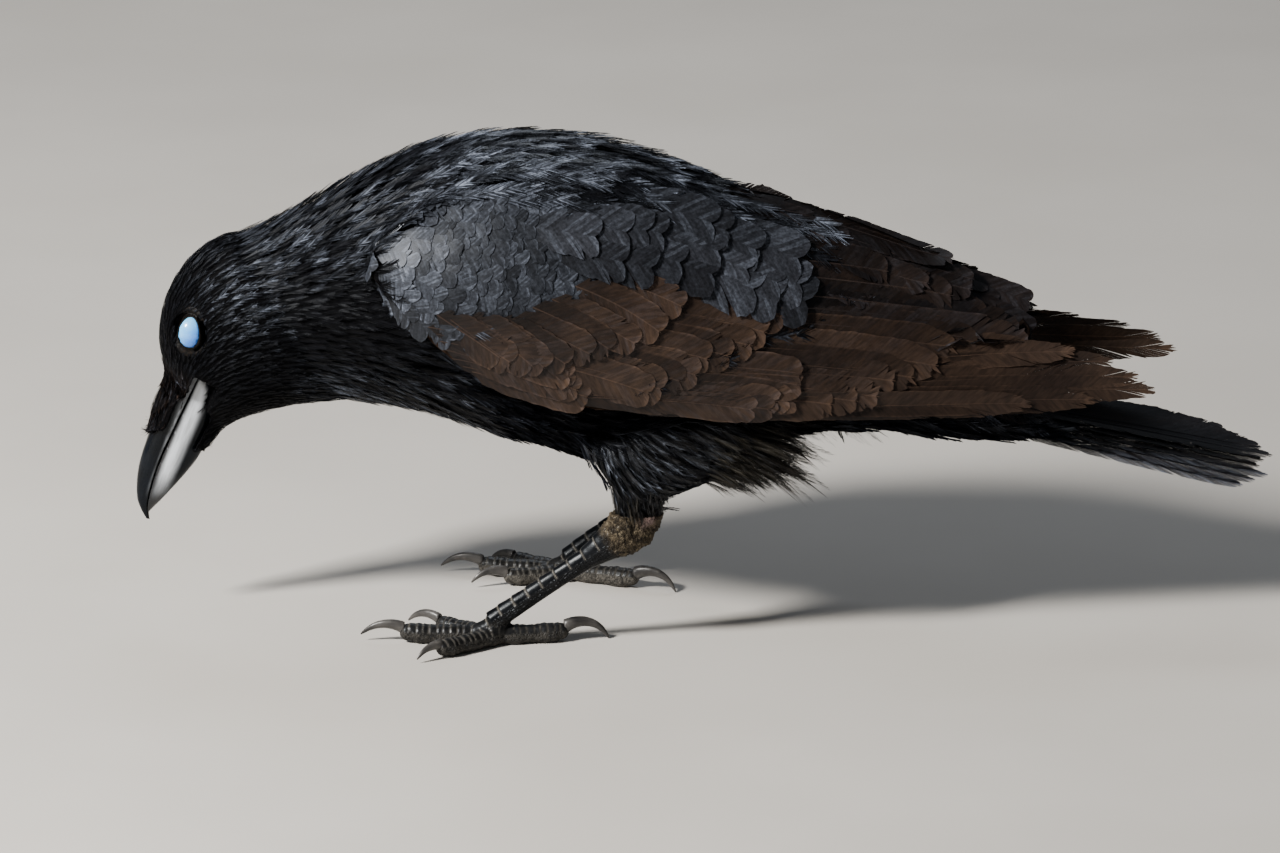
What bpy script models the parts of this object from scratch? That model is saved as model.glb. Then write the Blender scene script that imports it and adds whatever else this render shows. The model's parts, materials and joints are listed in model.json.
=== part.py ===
"""A carrion crow, life size, searching the ground with its bill lowered.

Run with: blender --background --python part.py
The bird faces -X, its left side is -Y and +Z is up. Sizes are in millimetres and turned to
metres when a mesh is made. It stands on z = 0, centred over the origin.
"""

import math
from collections import namedtuple

import bmesh
import bpy
from mathutils import Matrix, Vector
from mathutils.bvhtree import BVHTree

MM = 0.001
GAP = 0.35  # clearance between neighbouring solids
LEFT, RIGHT = -1, 1

# Head, neck and trunk: one row of sections through the back line, the belly line and the sides.
Station = namedtuple("Station", "name top bottom half_width egg")
BODY = (
    Station("bill_base", (-196.7, 91.9), (-174.2, 70.7), 9.5, 0.00),
    Station("lores", (-199.5, 102.2), (-168.8, 74.2), 14.5, 0.00),
    Station("eyes", (-198.7, 113.9), (-162.6, 76.2), 17.6, 0.02),
    Station("crown", (-194.7, 126.1), (-153.9, 78.9), 20.0, 0.04),
    Station("ears", (-186.3, 137.5), (-143.7, 80.5), 22.5, 0.04),
    Station("nape", (-173.8, 145.4), (-133.5, 81.3), 24.5, 0.04),
    Station("throat", (-160.6, 148.6), (-122.6, 81.1), 28.0, 0.04),
    Station("mid_neck", (-146.0, 156.2), (-111.7, 80.3), 33.5, 0.04),
    Station("neck_base", (-129.1, 165.8), (-100.1, 78.4), 40.0, 0.05),
    Station("shoulder", (-111.6, 174.6), (-86.2, 73.8), 44.0, 0.06),
    Station("breast", (-92.0, 180.8), (-71.5, 69.2), 47.5, 0.08),
    Station("mantle", (-70.2, 183.4), (-56.8, 65.5), 49.0, 0.10),
    Station("back", (-47.3, 181.1), (-41.4, 60.5), 49.0, 0.12),
    Station("belly", (-23.7, 174.7), (-23.7, 58.2), 47.0, 0.12),
    Station("hips", (-1.8, 164.8), (-1.8, 62.3), 42.5, 0.12),
    Station("rump", (20.1, 153.0), (21.9, 67.0), 36.0, 0.10),
    Station("vent", (42.1, 139.0), (45.5, 71.0), 30.0, 0.06),
    Station("tail_base", (64.0, 123.5), (67.4, 70.8), 25.5, 0.00),
    Station("covert_root", (85.9, 107.5), (89.3, 67.9), 22.0, 0.00),
    Station("covert_middle", (107.8, 93.0), (111.2, 67.2), 18.5, 0.00),
    Station("covert_tips", (126.1, 81.6), (127.6, 68.5), 15.5, 0.00),
)
HEAD_END, NECK_END = 5.0, 8.6  # where the head and the neck end, counted in stations
BODY_SEGMENTS = 24
HEAD_RINGS, NECK_RINGS, TRUNK_RINGS = 9, 6, 19

# Bill: its own frame starts at the corner of the mouth, runs forward and rises to the culmen.
GAPE = (-185.1, 90.1)
BILL_PITCH = math.radians(69.9)
BILL_BACK, BILL_LENGTH, LOWER_LENGTH = -3.0, 57.2, 54.4
CULMEN = ((-3, 10.2), (8, 10.3), (18, 10.0), (28, 9.6), (38, 9.2), (46.3, 7.3), (53, 4.3), (57.2, -0.3))
MOUTH = ((-3, 0.0), (10, 1.2), (22, 2.1), (33, 2.9), (45, 2.3), (53, 1.0), (57.2, -1.0))
GONYS = ((-3, -8.8), (10, -10.4), (20, -11.3), (27.5, -11.0), (38.3, -7.4), (48, -3.6), (54.4, -0.6))
BILL_HALF_WIDTH = ((-3, 8.0), (8, 7.3), (27, 5.5), (42, 3.7), (52, 1.9), (57.2, 0.45))
MOUTH_GAP = 0.5
BRISTLE_TOP = ((3, 11.6), (11, 12.4), (18.5, 11.9), (27.5, 10.5))
BRISTLE_END, BRISTLE_EDGE = 27.5, 1.6
CHIN_END, CHIN_DEPTH = 27.0, 4.6
ARCH_POINTS, BILL_RINGS = 9, 11

EYE_CENTRE = (-185.9, 12.1, 111.3)
EYE_RADIUS = 7.3

# Folded wing, left side: ribs across the wing from its upper to its lower edge, at places along X.
Rib = namedtuple("Rib", "name x upper lower bulge")
WING = (
    Rib("bend", -121.5, (-36.5, 149.5), (-41.0, 140.0), 0.8),
    Rib("wrist", -108.0, (-33.5, 160.0), (-47.5, 124.5), 6.0),
    Rib("lesser_coverts", -75.0, (-25.0, 174.5), (-52.0, 100.3), 13.5),
    Rib("greater_coverts", -40.0, (-18.0, 176.0), (-52.0, 92.5), 15.0),
    Rib("elbow", 0.0, (-7.5, 164.0), (-50.0, 90.0), 13.5),
    Rib("tertial_root", 35.0, (-1.6, 154.6), (-46.0, 90.8), 9.5),
    Rib("tertials", 71.0, (-1.6, 139.8), (-40.0, 90.5), 6.0),
    Rib("tertial_end", 108.0, (-3.0, 122.8), (-32.0, 88.0), 3.5),
    Rib("tip_root", 122.0, (-11.0, 115.0), (-30.0, 87.5), 2.5),
    Rib("tip", 144.0, (-22.0, 104.0), (-26.0, 87.3), 1.0),
    Rib("longest", 174.0, (-23.0, 95.5), (-24.0, 89.5), 0.4),
)
WING_SPLIT = ((24, 1.0), (46, 0.74), (71, 0.64), (108, 0.50), (122, 0.38), (140, 0.02))
WING_END = ((0.0, 112.0), (0.45, 119.5), (0.8, 116.0), (1.0, 105.0))
WING_THICKNESS, WING_EDGE = 3.2, 1.0
WING_COLUMNS, WING_ROWS = 16, 8
PRIMARY_ROOT = 30.0
PRIMARY_END = ((0.0, 146.0), (0.4, 163.0), (0.75, 159.0), (1.0, 148.0))
PRIMARY_COUNT, PRIMARY_NOTCH, PRIMARY_THICKNESS = 5, 4.5, 1.5
FAR_PRIMARY_EXTRA = 10.5  # the right wing tip reaches further back than the left

# Tail: a fan of twelve feathers on a plane that falls backwards and rolls to the left.
TAIL_ROOT, TAIL_TIP = 128.2, 208.3
TAIL_HEIGHT, TAIL_FALL, TAIL_ROLL = 59.8, -0.199, 0.178
TAIL_HALF_ROOT, TAIL_SPREAD, TAIL_SHIFT = 18.0, 0.115, 2.0
TAIL_ROUNDING, TAIL_LONGEST, TAIL_CAMBER = 20.0, -0.25, 2.5
TAIL_FEATHERS, TAIL_NOTCH, TAIL_THICKNESS = 12, 4.5, 2.6

# Legs. Each foot stands flat. Front toes head forwards and turn outwards by their angle; the hind
# toe points back and turns inwards by its own.
Leg = namedtuple("Leg", "side foot heel top headings")
LEGS = {
    "left": Leg(
        LEFT, (-75.0, -37.5), (-27.5, 43.5), (-24.8, 50.0),
        {"inner": -32.0, "middle": -4.0, "outer": 38.0, "hind": 9.0},
    ),
    "right": Leg(
        RIGHT, (-48.0, 38.5), (-1.5, 46.5), (1.5, 53.0),
        {"inner": -15.0, "middle": 11.0, "outer": 32.0, "hind": 22.0},
    ),
}
TARSUS_START = 8.6
KNUCKLE_TOP = 6.4  # the toes end and the shank begins here
FLAT = 0.3  # how far each pad is pressed flat
Toe = namedtuple("Toe", "name pads length radius claw claw_rise claw_turn claw_radius")
TOES = (
    Toe("inner", 3, 25.0, 3.4, 15.5, 30.0, 82.0, 2.0),
    Toe("middle", 3, 34.0, 3.7, 17.5, 28.0, 75.0, 2.1),
    Toe("outer", 3, 26.0, 3.5, 12.0, 14.0, 64.0, 1.9),
    Toe("hind", 2, 23.5, 3.7, 20.0, 35.0, 104.0, 2.4),
)
TOE_SEGMENTS, TOE_RINGS, CLAW_SEGMENTS, CLAW_RINGS = 10, 8, 8, 7
Thigh = namedtuple("Thigh", "rise shift radius_x radius_y inward")
THIGH = (
    Thigh(0.0, 0.0, 9.5, 5.9, 0.0),
    Thigh(4.0, 0.8, 9.8, 7.0, 0.0),
    Thigh(8.5, 4.5, 13.9, 9.2, 0.2),
    Thigh(12.0, 7.8, 18.9, 11.0, 0.5),
    Thigh(16.0, 9.8, 25.0, 13.0, 1.0),
    Thigh(23.0, 12.3, 32.0, 14.5, 2.2),
    Thigh(35.5, 14.8, 30.0, 12.0, 5.0),
)
FAR_THIGH_SQUASH = 0.85  # the right heel is held close under the belly
THIGH_SEGMENTS = 16

BLACK_PLUMAGE = (0.012, 0.012, 0.015)
BROWN_PLUMAGE = (0.040, 0.028, 0.020)
HORN = (0.020, 0.021, 0.024)
SCALES = (0.030, 0.030, 0.032)
CLAW = (0.090, 0.085, 0.080)
EYELID = (0.420, 0.600, 0.850)


def clear_scene():
    """Remove whatever the file held."""
    for obj in list(bpy.data.objects):
        bpy.data.objects.remove(obj, do_unlink=True)


def smooth(knots, x):
    """The value at x of a smooth curve through (place, value) knots, level beyond its ends."""
    if x <= knots[0][0]:
        return knots[0][1]
    if x >= knots[-1][0]:
        return knots[-1][1]
    i = 0
    while x > knots[i + 1][0]:
        i += 1
    slopes = [(b[1] - a[1]) / (b[0] - a[0]) for a, b in zip(knots, knots[1:])]
    start = (slopes[i - 1] + slopes[i]) / 2 if i > 0 else slopes[i]
    end = (slopes[i] + slopes[i + 1]) / 2 if i + 1 < len(slopes) else slopes[i]
    span = knots[i + 1][0] - knots[i][0]
    t = (x - knots[i][0]) / span
    a, b = knots[i][1], knots[i + 1][1]
    return (
        (2 * t**3 - 3 * t**2 + 1) * a
        + (t**3 - 2 * t**2 + t) * span * start
        + (3 * t**2 - 2 * t**3) * b
        + (t**3 - t**2) * span * end
    )


def steps(first, last, count):
    """Count evenly spaced values from first to last."""
    return [first + (last - first) * i / (count - 1) for i in range(count)]


def material(name, colour, roughness):
    """A Principled material of one colour."""
    made = bpy.data.materials.new(name)
    made.use_nodes = True
    shader = made.node_tree.nodes["Principled BSDF"]
    shader.inputs["Base Color"].default_value = (*colour, 1.0)
    shader.inputs["Roughness"].default_value = roughness
    shader.inputs["Metallic"].default_value = 0.0
    made.diffuse_color = (*colour, 1.0)
    return made


def add_object(name, bm, colour, roughness):
    """Finish a mesh made in millimetres as one named object in metres."""
    bmesh.ops.recalc_face_normals(bm, faces=bm.faces)
    bmesh.ops.scale(bm, vec=(MM, MM, MM), verts=bm.verts)
    mesh = bpy.data.meshes.new(name)
    bm.to_mesh(mesh)
    bm.free()
    mesh.polygons.foreach_set("use_smooth", [True] * len(mesh.polygons))
    mesh.materials.append(material(name, colour, roughness))
    obj = bpy.data.objects.new(name, mesh)
    bpy.context.scene.collection.objects.link(obj)
    return obj


def cutter(name, bm):
    """An object that only cuts others."""
    obj = add_object(name, bm, BLACK_PLUMAGE, 0.5)
    obj.hide_render = True
    obj.display_type = "WIRE"
    return obj


def cut(obj, tool):
    """Take one object's volume out of another."""
    modifier = obj.modifiers.new("cut_" + tool.name, "BOOLEAN")
    modifier.operation = "DIFFERENCE"
    modifier.solver = "EXACT"
    modifier.object = tool


def cap(bm, ring, outward):
    """Close a ring with a fan about its middle, moved out a little for a rounded end."""
    middle = sum((v.co for v in ring), Vector()) / len(ring)
    centre = bm.verts.new(middle + outward)
    for a, b in zip(ring, ring[1:] + ring[:1]):
        bm.faces.new((a, b, centre))


def loft(rings, bulge_first=0.0, bulge_last=0.0):
    """A closed skin over rings of points that all have the same count."""
    bm = bmesh.new()
    loops = [[bm.verts.new(p) for p in ring] for ring in rings]
    for one, two in zip(loops, loops[1:]):
        for i in range(len(one)):
            j = (i + 1) % len(one)
            bm.faces.new((one[i], one[j], two[j], two[i]))
    centres = [sum((Vector(p) for p in ring), Vector()) / len(ring) for ring in rings]
    cap(bm, loops[0], (centres[0] - centres[1]).normalized() * bulge_first)
    cap(bm, loops[-1], (centres[-1] - centres[-2]).normalized() * bulge_last)
    return bm


def slab(outer, inner):
    """A closed solid between two grids of points of the same size."""
    bm = bmesh.new()
    top = [[bm.verts.new(p) for p in row] for row in outer]
    low = [[bm.verts.new(p) for p in row] for row in inner]
    rows, columns = len(top), len(top[0])
    for i in range(rows - 1):
        for j in range(columns - 1):
            bm.faces.new((top[i][j], top[i][j + 1], top[i + 1][j + 1], top[i + 1][j]))
            bm.faces.new((low[i][j], low[i + 1][j], low[i + 1][j + 1], low[i][j + 1]))
    for j in range(columns - 1):
        bm.faces.new((top[0][j], low[0][j], low[0][j + 1], top[0][j + 1]))
        bm.faces.new((top[-1][j], top[-1][j + 1], low[-1][j + 1], low[-1][j]))
    for i in range(rows - 1):
        bm.faces.new((top[i][0], top[i + 1][0], low[i + 1][0], low[i][0]))
        bm.faces.new((top[i][-1], low[i][-1], low[i + 1][-1], top[i + 1][-1]))
    return bm


def trim(bm, point, normal):
    """Cut away what lies on the normal's side of a plane and close the cut."""
    found = bmesh.ops.bisect_plane(
        bm,
        geom=bm.verts[:] + bm.edges[:] + bm.faces[:],
        plane_co=point,
        plane_no=normal,
        clear_outer=True,
    )
    edges = [e for e in found["geom_cut"] if isinstance(e, bmesh.types.BMEdge)]
    if edges:
        bmesh.ops.holes_fill(bm, edges=edges)


# ---- head, neck and trunk ----


def body_section(place, grow=0.0):
    """One ring round the body; place counts along the stations."""
    knots = range(len(BODY))
    top = Vector([smooth([(i, BODY[i].top[k]) for i in knots], place) for k in (0, 1)])
    bottom = Vector([smooth([(i, BODY[i].bottom[k]) for i in knots], place) for k in (0, 1)])
    half_width = smooth([(i, BODY[i].half_width) for i in knots], place) + grow
    egg = smooth([(i, BODY[i].egg) for i in knots], place)
    centre = (top + bottom) / 2
    depth = (top - bottom).length / 2 + grow
    rise = (top - bottom).normalized()
    ring = []
    for i in range(BODY_SEGMENTS):
        angle = math.tau * i / BODY_SEGMENTS
        up = depth * (math.cos(angle) - egg * math.sin(angle) ** 2)
        ring.append(
            (centre.x + rise.x * up, half_width * math.sin(angle), centre.y + rise.y * up)
        )
    return ring


def body_loft(first, last, count, grow=0.0, bulges=(0.0, 0.0)):
    """The stretch of body between two places along the stations."""
    return loft([body_section(p, grow) for p in steps(first, last, count)], *bulges)


def make_head():
    """Head from the bill's base to the nape, with sockets for the bill and the eyes."""
    head = add_object("head", body_loft(0, HEAD_END, HEAD_RINGS), BLACK_PLUMAGE, 0.45)
    socket = [bill_ring(f, GAP) for f in steps(BILL_BACK - GAP, 30.0, 6)]
    cut(head, cutter("cut_bill_socket", loft(socket)))
    for side, word in ((LEFT, "left"), (RIGHT, "right")):
        cut(head, cutter("cut_eye_socket_" + word, eye_ball(side, EYE_RADIUS + GAP)))


def make_neck():
    """Neck, a short stretch between head and trunk."""
    first, last = HEAD_END + 0.03, NECK_END - 0.02
    add_object("neck", body_loft(first, last, NECK_RINGS), BLACK_PLUMAGE, 0.45)


def make_trunk():
    """Breast, back, belly and the coverts round the root of the tail."""
    last = len(BODY) - 1
    bm = body_loft(NECK_END, last, TRUNK_RINGS)
    tree = BVHTree.FromBMesh(bm)
    add_object("trunk", bm, BLACK_PLUMAGE, 0.45)
    return tree


# ---- bill and eyes ----


def bill_point(forward, up, across):
    """A point of the bill's own frame, in the bird's."""
    x = GAPE[0] - forward * math.cos(BILL_PITCH) - up * math.sin(BILL_PITCH)
    z = GAPE[1] - forward * math.sin(BILL_PITCH) + up * math.cos(BILL_PITCH)
    return Vector((x, across, z))


def arch(forward, edge, ridge, half_width, grow=0.0):
    """Half a ring over or under the bill, from its left edge to its right edge."""
    points = []
    for angle in steps(0.0, math.pi, ARCH_POINTS):
        up = edge + (ridge - edge) * math.sin(angle) ** 0.85
        away = math.sin(angle) * math.copysign(grow, ridge - edge)
        across = -(half_width + grow) * math.cos(angle)
        points.append(bill_point(forward, up + away, across))
    return points


def upper_arch(forward, grow=0.0):
    """The horn of the upper mandible."""
    width = smooth(BILL_HALF_WIDTH, forward)
    return arch(forward, smooth(MOUTH, forward), smooth(CULMEN, forward), width, grow)


def lower_arch(forward, grow=0.0):
    """The horn of the lower mandible, a little narrower, just clear of the upper one."""
    width = smooth(BILL_HALF_WIDTH, forward) * 0.93
    edge = smooth(MOUTH, forward) - MOUTH_GAP
    return arch(forward, edge, smooth(GONYS, forward), width, grow)


def bill_ring(forward, grow):
    """A ring round both mandibles."""
    return upper_arch(forward, grow) + list(reversed(lower_arch(forward, grow)))[1:-1]


def closed_arch(points):
    """An arch closed by a straight floor with one point in its middle."""
    return points + [(points[0] + points[-1]) / 2]


def bill_places(length):
    """Places along the bill, closer together towards its tip."""
    shares = [1 - (1 - s) ** 1.5 for s in steps(0.0, 1.0, BILL_RINGS)]
    return [BILL_BACK + (length - BILL_BACK) * s for s in shares]


def make_bill():
    """Upper and lower mandible, each one horn."""
    upper = [closed_arch(upper_arch(f)) for f in bill_places(BILL_LENGTH)]
    add_object("bill_upper", loft(upper), HORN, 0.25)
    lower = [closed_arch(lower_arch(f)) for f in bill_places(LOWER_LENGTH)]
    add_object("bill_lower", loft(lower), HORN, 0.25)


def face_plane(up):
    """How far forward the face reaches at a height on the bill."""
    top = Vector(BODY[0].top) - Vector(GAPE)
    bottom = Vector(BODY[0].bottom) - Vector(GAPE)
    ahead = Vector((-math.cos(BILL_PITCH), -math.sin(BILL_PITCH)))
    above = Vector((-math.sin(BILL_PITCH), math.cos(BILL_PITCH)))
    share = (top.dot(above) - up) / (top.dot(above) - bottom.dot(above))
    return top.dot(ahead) + share * (bottom - top).dot(ahead)


def make_bristles():
    """The pad of nostril bristles that lies over the base of the upper mandible."""
    outer, inner = [], []
    for share in steps(0.0, 1.0, 6):
        rows = [], []
        for angle in steps(0.0, math.pi, 11):
            lift = math.sin(angle)
            start = face_plane(lift * 11.0) + 1.2
            forward = start + (BRISTLE_END - 5.0 * (1 - lift) - start) * share
            edge = smooth(MOUTH, forward) + BRISTLE_EDGE
            horn = smooth(CULMEN, forward) + GAP
            top = max(smooth(BRISTLE_TOP, forward), horn + 0.7)
            width = smooth(BILL_HALF_WIDTH, forward) + GAP + 0.1
            side = width * math.cos(angle)
            level = 1.3 * (1 - share) + 0.7 * share
            rows[0].append(bill_point(forward, edge + (top - edge) * lift**0.8, -side * (1 + level / width)))
            rows[1].append(bill_point(forward, edge + (horn - edge) * lift**0.8, -side))
        outer.append(rows[0])
        inner.append(rows[1])
    add_object("nasal_bristles", slab(outer, inner), BLACK_PLUMAGE, 0.6)


def make_chin():
    """The feathered chin under the base of the lower mandible."""
    outer, inner = [], []
    for share in steps(0.0, 1.0, 5):
        rows = [], []
        for angle in steps(0.18 * math.pi, 0.82 * math.pi, 9):
            drop = math.sin(angle)
            start = face_plane(-11.0 - 5.0 * drop) + 0.5
            forward = start + (CHIN_END - start) * share
            edge = smooth(MOUTH, forward) - MOUTH_GAP
            horn = smooth(GONYS, forward) - GAP
            width = smooth(BILL_HALF_WIDTH, forward) + GAP
            depth = (CHIN_DEPTH * (1 - share) + 0.7 * share) * (0.25 + 0.75 * drop**2)
            low = edge + (horn - edge) * drop**0.75
            rows[0].append(bill_point(forward, low - depth, -width * math.cos(angle) * 1.02))
            rows[1].append(bill_point(forward, low, -width * math.cos(angle) * 1.02))
        outer.append(rows[0])
        inner.append(rows[1])
    add_object("chin", slab(outer, inner), BLACK_PLUMAGE, 0.55)


def eye_ball(side, radius):
    """A ball in the eye's place."""
    bm = bmesh.new()
    x, y, z = EYE_CENTRE
    place = Matrix.Translation((x, side * y, z))
    bmesh.ops.create_uvsphere(bm, u_segments=16, v_segments=10, radius=radius, matrix=place)
    return bm


def make_eyes():
    """Both eyes, covered by their pale inner lids."""
    add_object("eye_left", eye_ball(LEFT, EYE_RADIUS), EYELID, 0.15)
    add_object("eye_right", eye_ball(RIGHT, EYE_RADIUS), EYELID, 0.15)


# ---- wings and tail ----


def wing_point(side, x, across):
    """A point on the wing's outer surface; across runs from its upper to its lower edge."""
    parts = []
    for field in ("upper", "lower"):
        for k in (0, 1):
            parts.append(smooth([(rib.x, getattr(rib, field)[k]) for rib in WING], x))
    bulge = smooth([(rib.x, rib.bulge) for rib in WING], x)
    upper, lower = Vector(parts[:2]), Vector(parts[2:])
    chord = lower - upper
    normal = Vector((chord.y, -chord.x)).normalized()
    point = upper + chord * across + normal * bulge * 4 * across * (1 - across)
    return Vector((x, -side * point.x, point.y))


def wing_normal(side, x, across):
    """The outward direction of the wing's surface."""
    low, high = max(across - 0.02, 0.0), min(across + 0.02, 1.0)
    along = wing_point(side, x + 1.0, across) - wing_point(side, x - 1.0, across)
    down = wing_point(side, x, high) - wing_point(side, x, low)
    normal = along.cross(down).normalized()
    return normal if normal.y * side > 0 else -normal


def wing_layers(side, x, across, thickness, trunk):
    """Outer and inner point of a wing at one place, kept clear of the trunk."""
    outer = wing_point(side, x, across)
    normal = wing_normal(side, x, across)
    inner = outer - normal * thickness
    reach = 40.0
    hit = trunk.ray_cast(outer + normal * reach, -normal, 2 * reach)
    if hit[0] is not None:
        clear = hit[0] + normal * (GAP + 0.9)
        if (inner - clear).dot(normal) < 0:
            inner = clear
        if (outer - inner).dot(normal) < WING_EDGE:
            outer = inner + normal * WING_EDGE
    return outer, inner


def make_wing(word, side, trunk):
    """The folded wing down to the tips of its inner feathers."""
    outer, inner = [], []
    start = WING[0].x
    for along in steps(0.0, 1.0, WING_COLUMNS):
        rows = [], []
        for across in steps(0.0, 1.0, WING_ROWS + 1):
            x = start + (smooth(WING_END, across) - start) * along
            middle = math.sin(math.pi * across) * math.sin(math.pi * min(along * 1.3 + 0.05, 1.0))
            thickness = WING_EDGE + (WING_THICKNESS - WING_EDGE) * max(middle, 0.0) ** 0.6
            share = across * smooth(WING_SPLIT, x)
            points = wing_layers(side, x, share, thickness, trunk)
            rows[0].append(points[0])
            rows[1].append(points[1])
        outer.append(rows[0])
        inner.append(rows[1])
    add_object("wing_" + word, slab(outer, inner), BROWN_PLUMAGE, 0.5)


def make_primaries(word, side, extra, trunk):
    """The long flight feathers that show below and behind the wing, with stepped tips."""
    outer, inner = [], []
    for across in steps(0.0, 1.0, 2 * PRIMARY_COUNT + 1):
        rows = [], []
        notch = abs(math.cos(math.pi * PRIMARY_COUNT * across)) * PRIMARY_NOTCH
        end = smooth(PRIMARY_END, across) + extra - notch
        for along in steps(0.0, 1.0, 9):
            x = PRIMARY_ROOT + (end - PRIMARY_ROOT) * along
            split = smooth(WING_SPLIT, x) + 0.014
            share = split + (1 - split) * across
            thickness = PRIMARY_THICKNESS - 0.6 * along
            points = wing_layers(side, x, share, thickness, trunk)
            rows[0].append(points[0])
            rows[1].append(points[1])
        outer.append(rows[0])
        inner.append(rows[1])
    add_object("primaries_" + word, slab(outer, inner), BROWN_PLUMAGE, 0.5)


def tail_point(x, across, lift):
    """A point of the tail; across runs from -1 at its left edge to 1 at its right."""
    y = across * (TAIL_HALF_ROOT + TAIL_SPREAD * (x - TAIL_ROOT)) + TAIL_SHIFT
    z = TAIL_HEIGHT + TAIL_FALL * (x - 200.0) + TAIL_ROLL * y
    return (x, y, z + TAIL_CAMBER * (0.5 - across**2) + lift)


def make_tail():
    """The half-spread tail, each feather ending in a worn point."""
    outer, inner = [], []
    for i, across in enumerate(steps(-1.0, 1.0, 2 * TAIL_FEATHERS + 1)):
        end = TAIL_TIP - TAIL_ROUNDING * (across - TAIL_LONGEST) ** 2
        end -= TAIL_NOTCH if i % 2 == 0 else 0.0
        places = steps(TAIL_ROOT, end, 6)
        thickness = [TAIL_THICKNESS * (1 - 0.6 * k / 5) for k in range(6)]
        outer.append([tail_point(x, across, t / 2) for x, t in zip(places, thickness)])
        inner.append([tail_point(x, across, -t / 2) for x, t in zip(places, thickness)])
    add_object("tail", slab(outer, inner), BLACK_PLUMAGE, 0.4)


# ---- legs ----


def make_thigh(word, leg, clearance):
    """The feathered shank, which spreads upwards into the flank."""
    squash = 1.0 if leg.side == LEFT else FAR_THIGH_SQUASH
    rings = []
    for part in THIGH:
        centre_x = leg.top[0] + part.shift * squash
        centre_y = leg.foot[1] - leg.side * part.inward
        z = leg.top[1] + GAP + part.rise * squash
        ring = []
        for i in range(THIGH_SEGMENTS):
            angle = math.tau * i / THIGH_SEGMENTS
            across = part.radius_y * math.sin(angle)
            ring.append((centre_x + part.radius_x * math.cos(angle), centre_y + across, z))
        rings.append(ring)
    thigh = add_object("thigh_" + word, loft(rings), BLACK_PLUMAGE, 0.6)
    cut(thigh, clearance)


def tube(path, radii, segments):
    """A tube of oval rings, deep by wide, along a path that stays in an upright plane."""
    rings = []
    for i, point in enumerate(path):
        before, after = path[max(i - 1, 0)], path[min(i + 1, len(path) - 1)]
        ahead = (after - before).normalized()
        across = Vector((0, 0, 1)).cross(ahead)
        across = across.normalized() if across.length > 0.05 else Vector((0, 1, 0))
        above = ahead.cross(across).normalized()
        deep, wide = radii[i]
        ring = []
        for k in range(segments):
            angle = math.tau * k / segments
            ring.append(point + above * deep * math.cos(angle) + across * wide * math.sin(angle))
        rings.append(ring)
    return loft(rings)


def make_tarsus(word, leg):
    """The bare shank from the toes up to the knobbly heel joint."""
    foot = Vector((leg.foot[0] - 2.5, leg.foot[1], TARSUS_START))
    heel = Vector((leg.heel[0], leg.foot[1], leg.heel[1]))
    top = Vector((leg.top[0], leg.foot[1], leg.top[1]))
    path = [foot + (heel - foot) * s for s in (0.0, 0.12, 0.3, 0.5, 0.68, 0.82, 0.93, 1.0)]
    path += [top, top + (top - heel) * 0.6]
    radii = [(4.0, 3.9), (4.0, 3.5), (3.8, 3.0), (3.8, 2.9), (4.1, 3.3), (6.0, 4.4), (8.2, 5.4)]
    radii += [(9.4, 5.9), (9.4, 5.9), (9.4, 5.9)]
    bm = tube(path, radii, 12)
    trim(bm, Vector((0, 0, top.z)), Vector((0, 0, 1)))
    trim(bm, Vector((0, 0, KNUCKLE_TOP + GAP)), Vector((0, 0, -1)))
    add_object("tarsus_" + word, bm, SCALES, 0.45)


def toe_heading(leg, toe):
    """The level direction of a toe."""
    angle = math.radians(leg.headings[toe.name])
    heading = Vector((-math.cos(angle), leg.side * math.sin(angle), 0))
    return -heading if toe.name == "hind" else heading


def make_toe(word, leg, toe):
    """One toe with rounded pads, pressed flat where it meets the floor."""
    heading = toe_heading(leg, toe)
    knuckle = Vector((leg.foot[0], leg.foot[1], 0))
    path, radii = [], []
    for share in steps(0.0, 1.0, TOE_RINGS):
        radius = toe.radius * (1.0 - 0.09 * math.cos(math.tau * toe.pads * share))
        radius *= 0.82 if share == 1.0 else 1.0
        radii.append((radius, radius))
        rise = toe.radius - FLAT + (1.2 if share == 1.0 else 0.0)
        path.append(knuckle + heading * toe.length * share + Vector((0, 0, rise)))
    bm = tube(path, radii, TOE_SEGMENTS)
    trim(bm, Vector((0, 0, 0)), Vector((0, 0, -1)))
    trim(bm, knuckle + heading * 2.5 + Vector((0, 0, KNUCKLE_TOP)), Vector((0, 0, 2)) - heading)
    for other in TOES:
        if other.name != toe.name:
            apart = (toe_heading(leg, other) - heading).normalized()
            trim(bm, knuckle - apart * GAP / 2, apart)
    add_object(f"toe_{word}_{toe.name}", bm, SCALES, 0.6)
    make_claw(word, toe, knuckle + heading * (toe.length + GAP), heading)


def make_claw(word, toe, root, heading):
    """A hooked claw that arches from the toe's end and points down at the floor."""
    rise, turn = math.radians(toe.claw_rise), math.radians(toe.claw_turn)
    radius = toe.claw / turn
    start = Vector((0, 0, toe.radius + 1.6))
    path, radii = [], []
    for share in steps(0.0, 1.0, CLAW_RINGS):
        angle = rise - turn * share
        ahead = radius * (math.sin(rise) - math.sin(angle))
        above = radius * (math.cos(angle) - math.cos(rise))
        path.append(root + start + heading * ahead + Vector((0, 0, above)))
        size = toe.claw_radius * (1 - share) ** 0.75 + 0.3
        radii.append((size, size * 0.8))
    bm = tube(path, radii, CLAW_SEGMENTS)
    trim(bm, root, -heading)
    trim(bm, Vector((0, 0, 0)), Vector((0, 0, -1)))
    add_object(f"claw_{word}_{toe.name}", bm, CLAW, 0.35)


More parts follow.
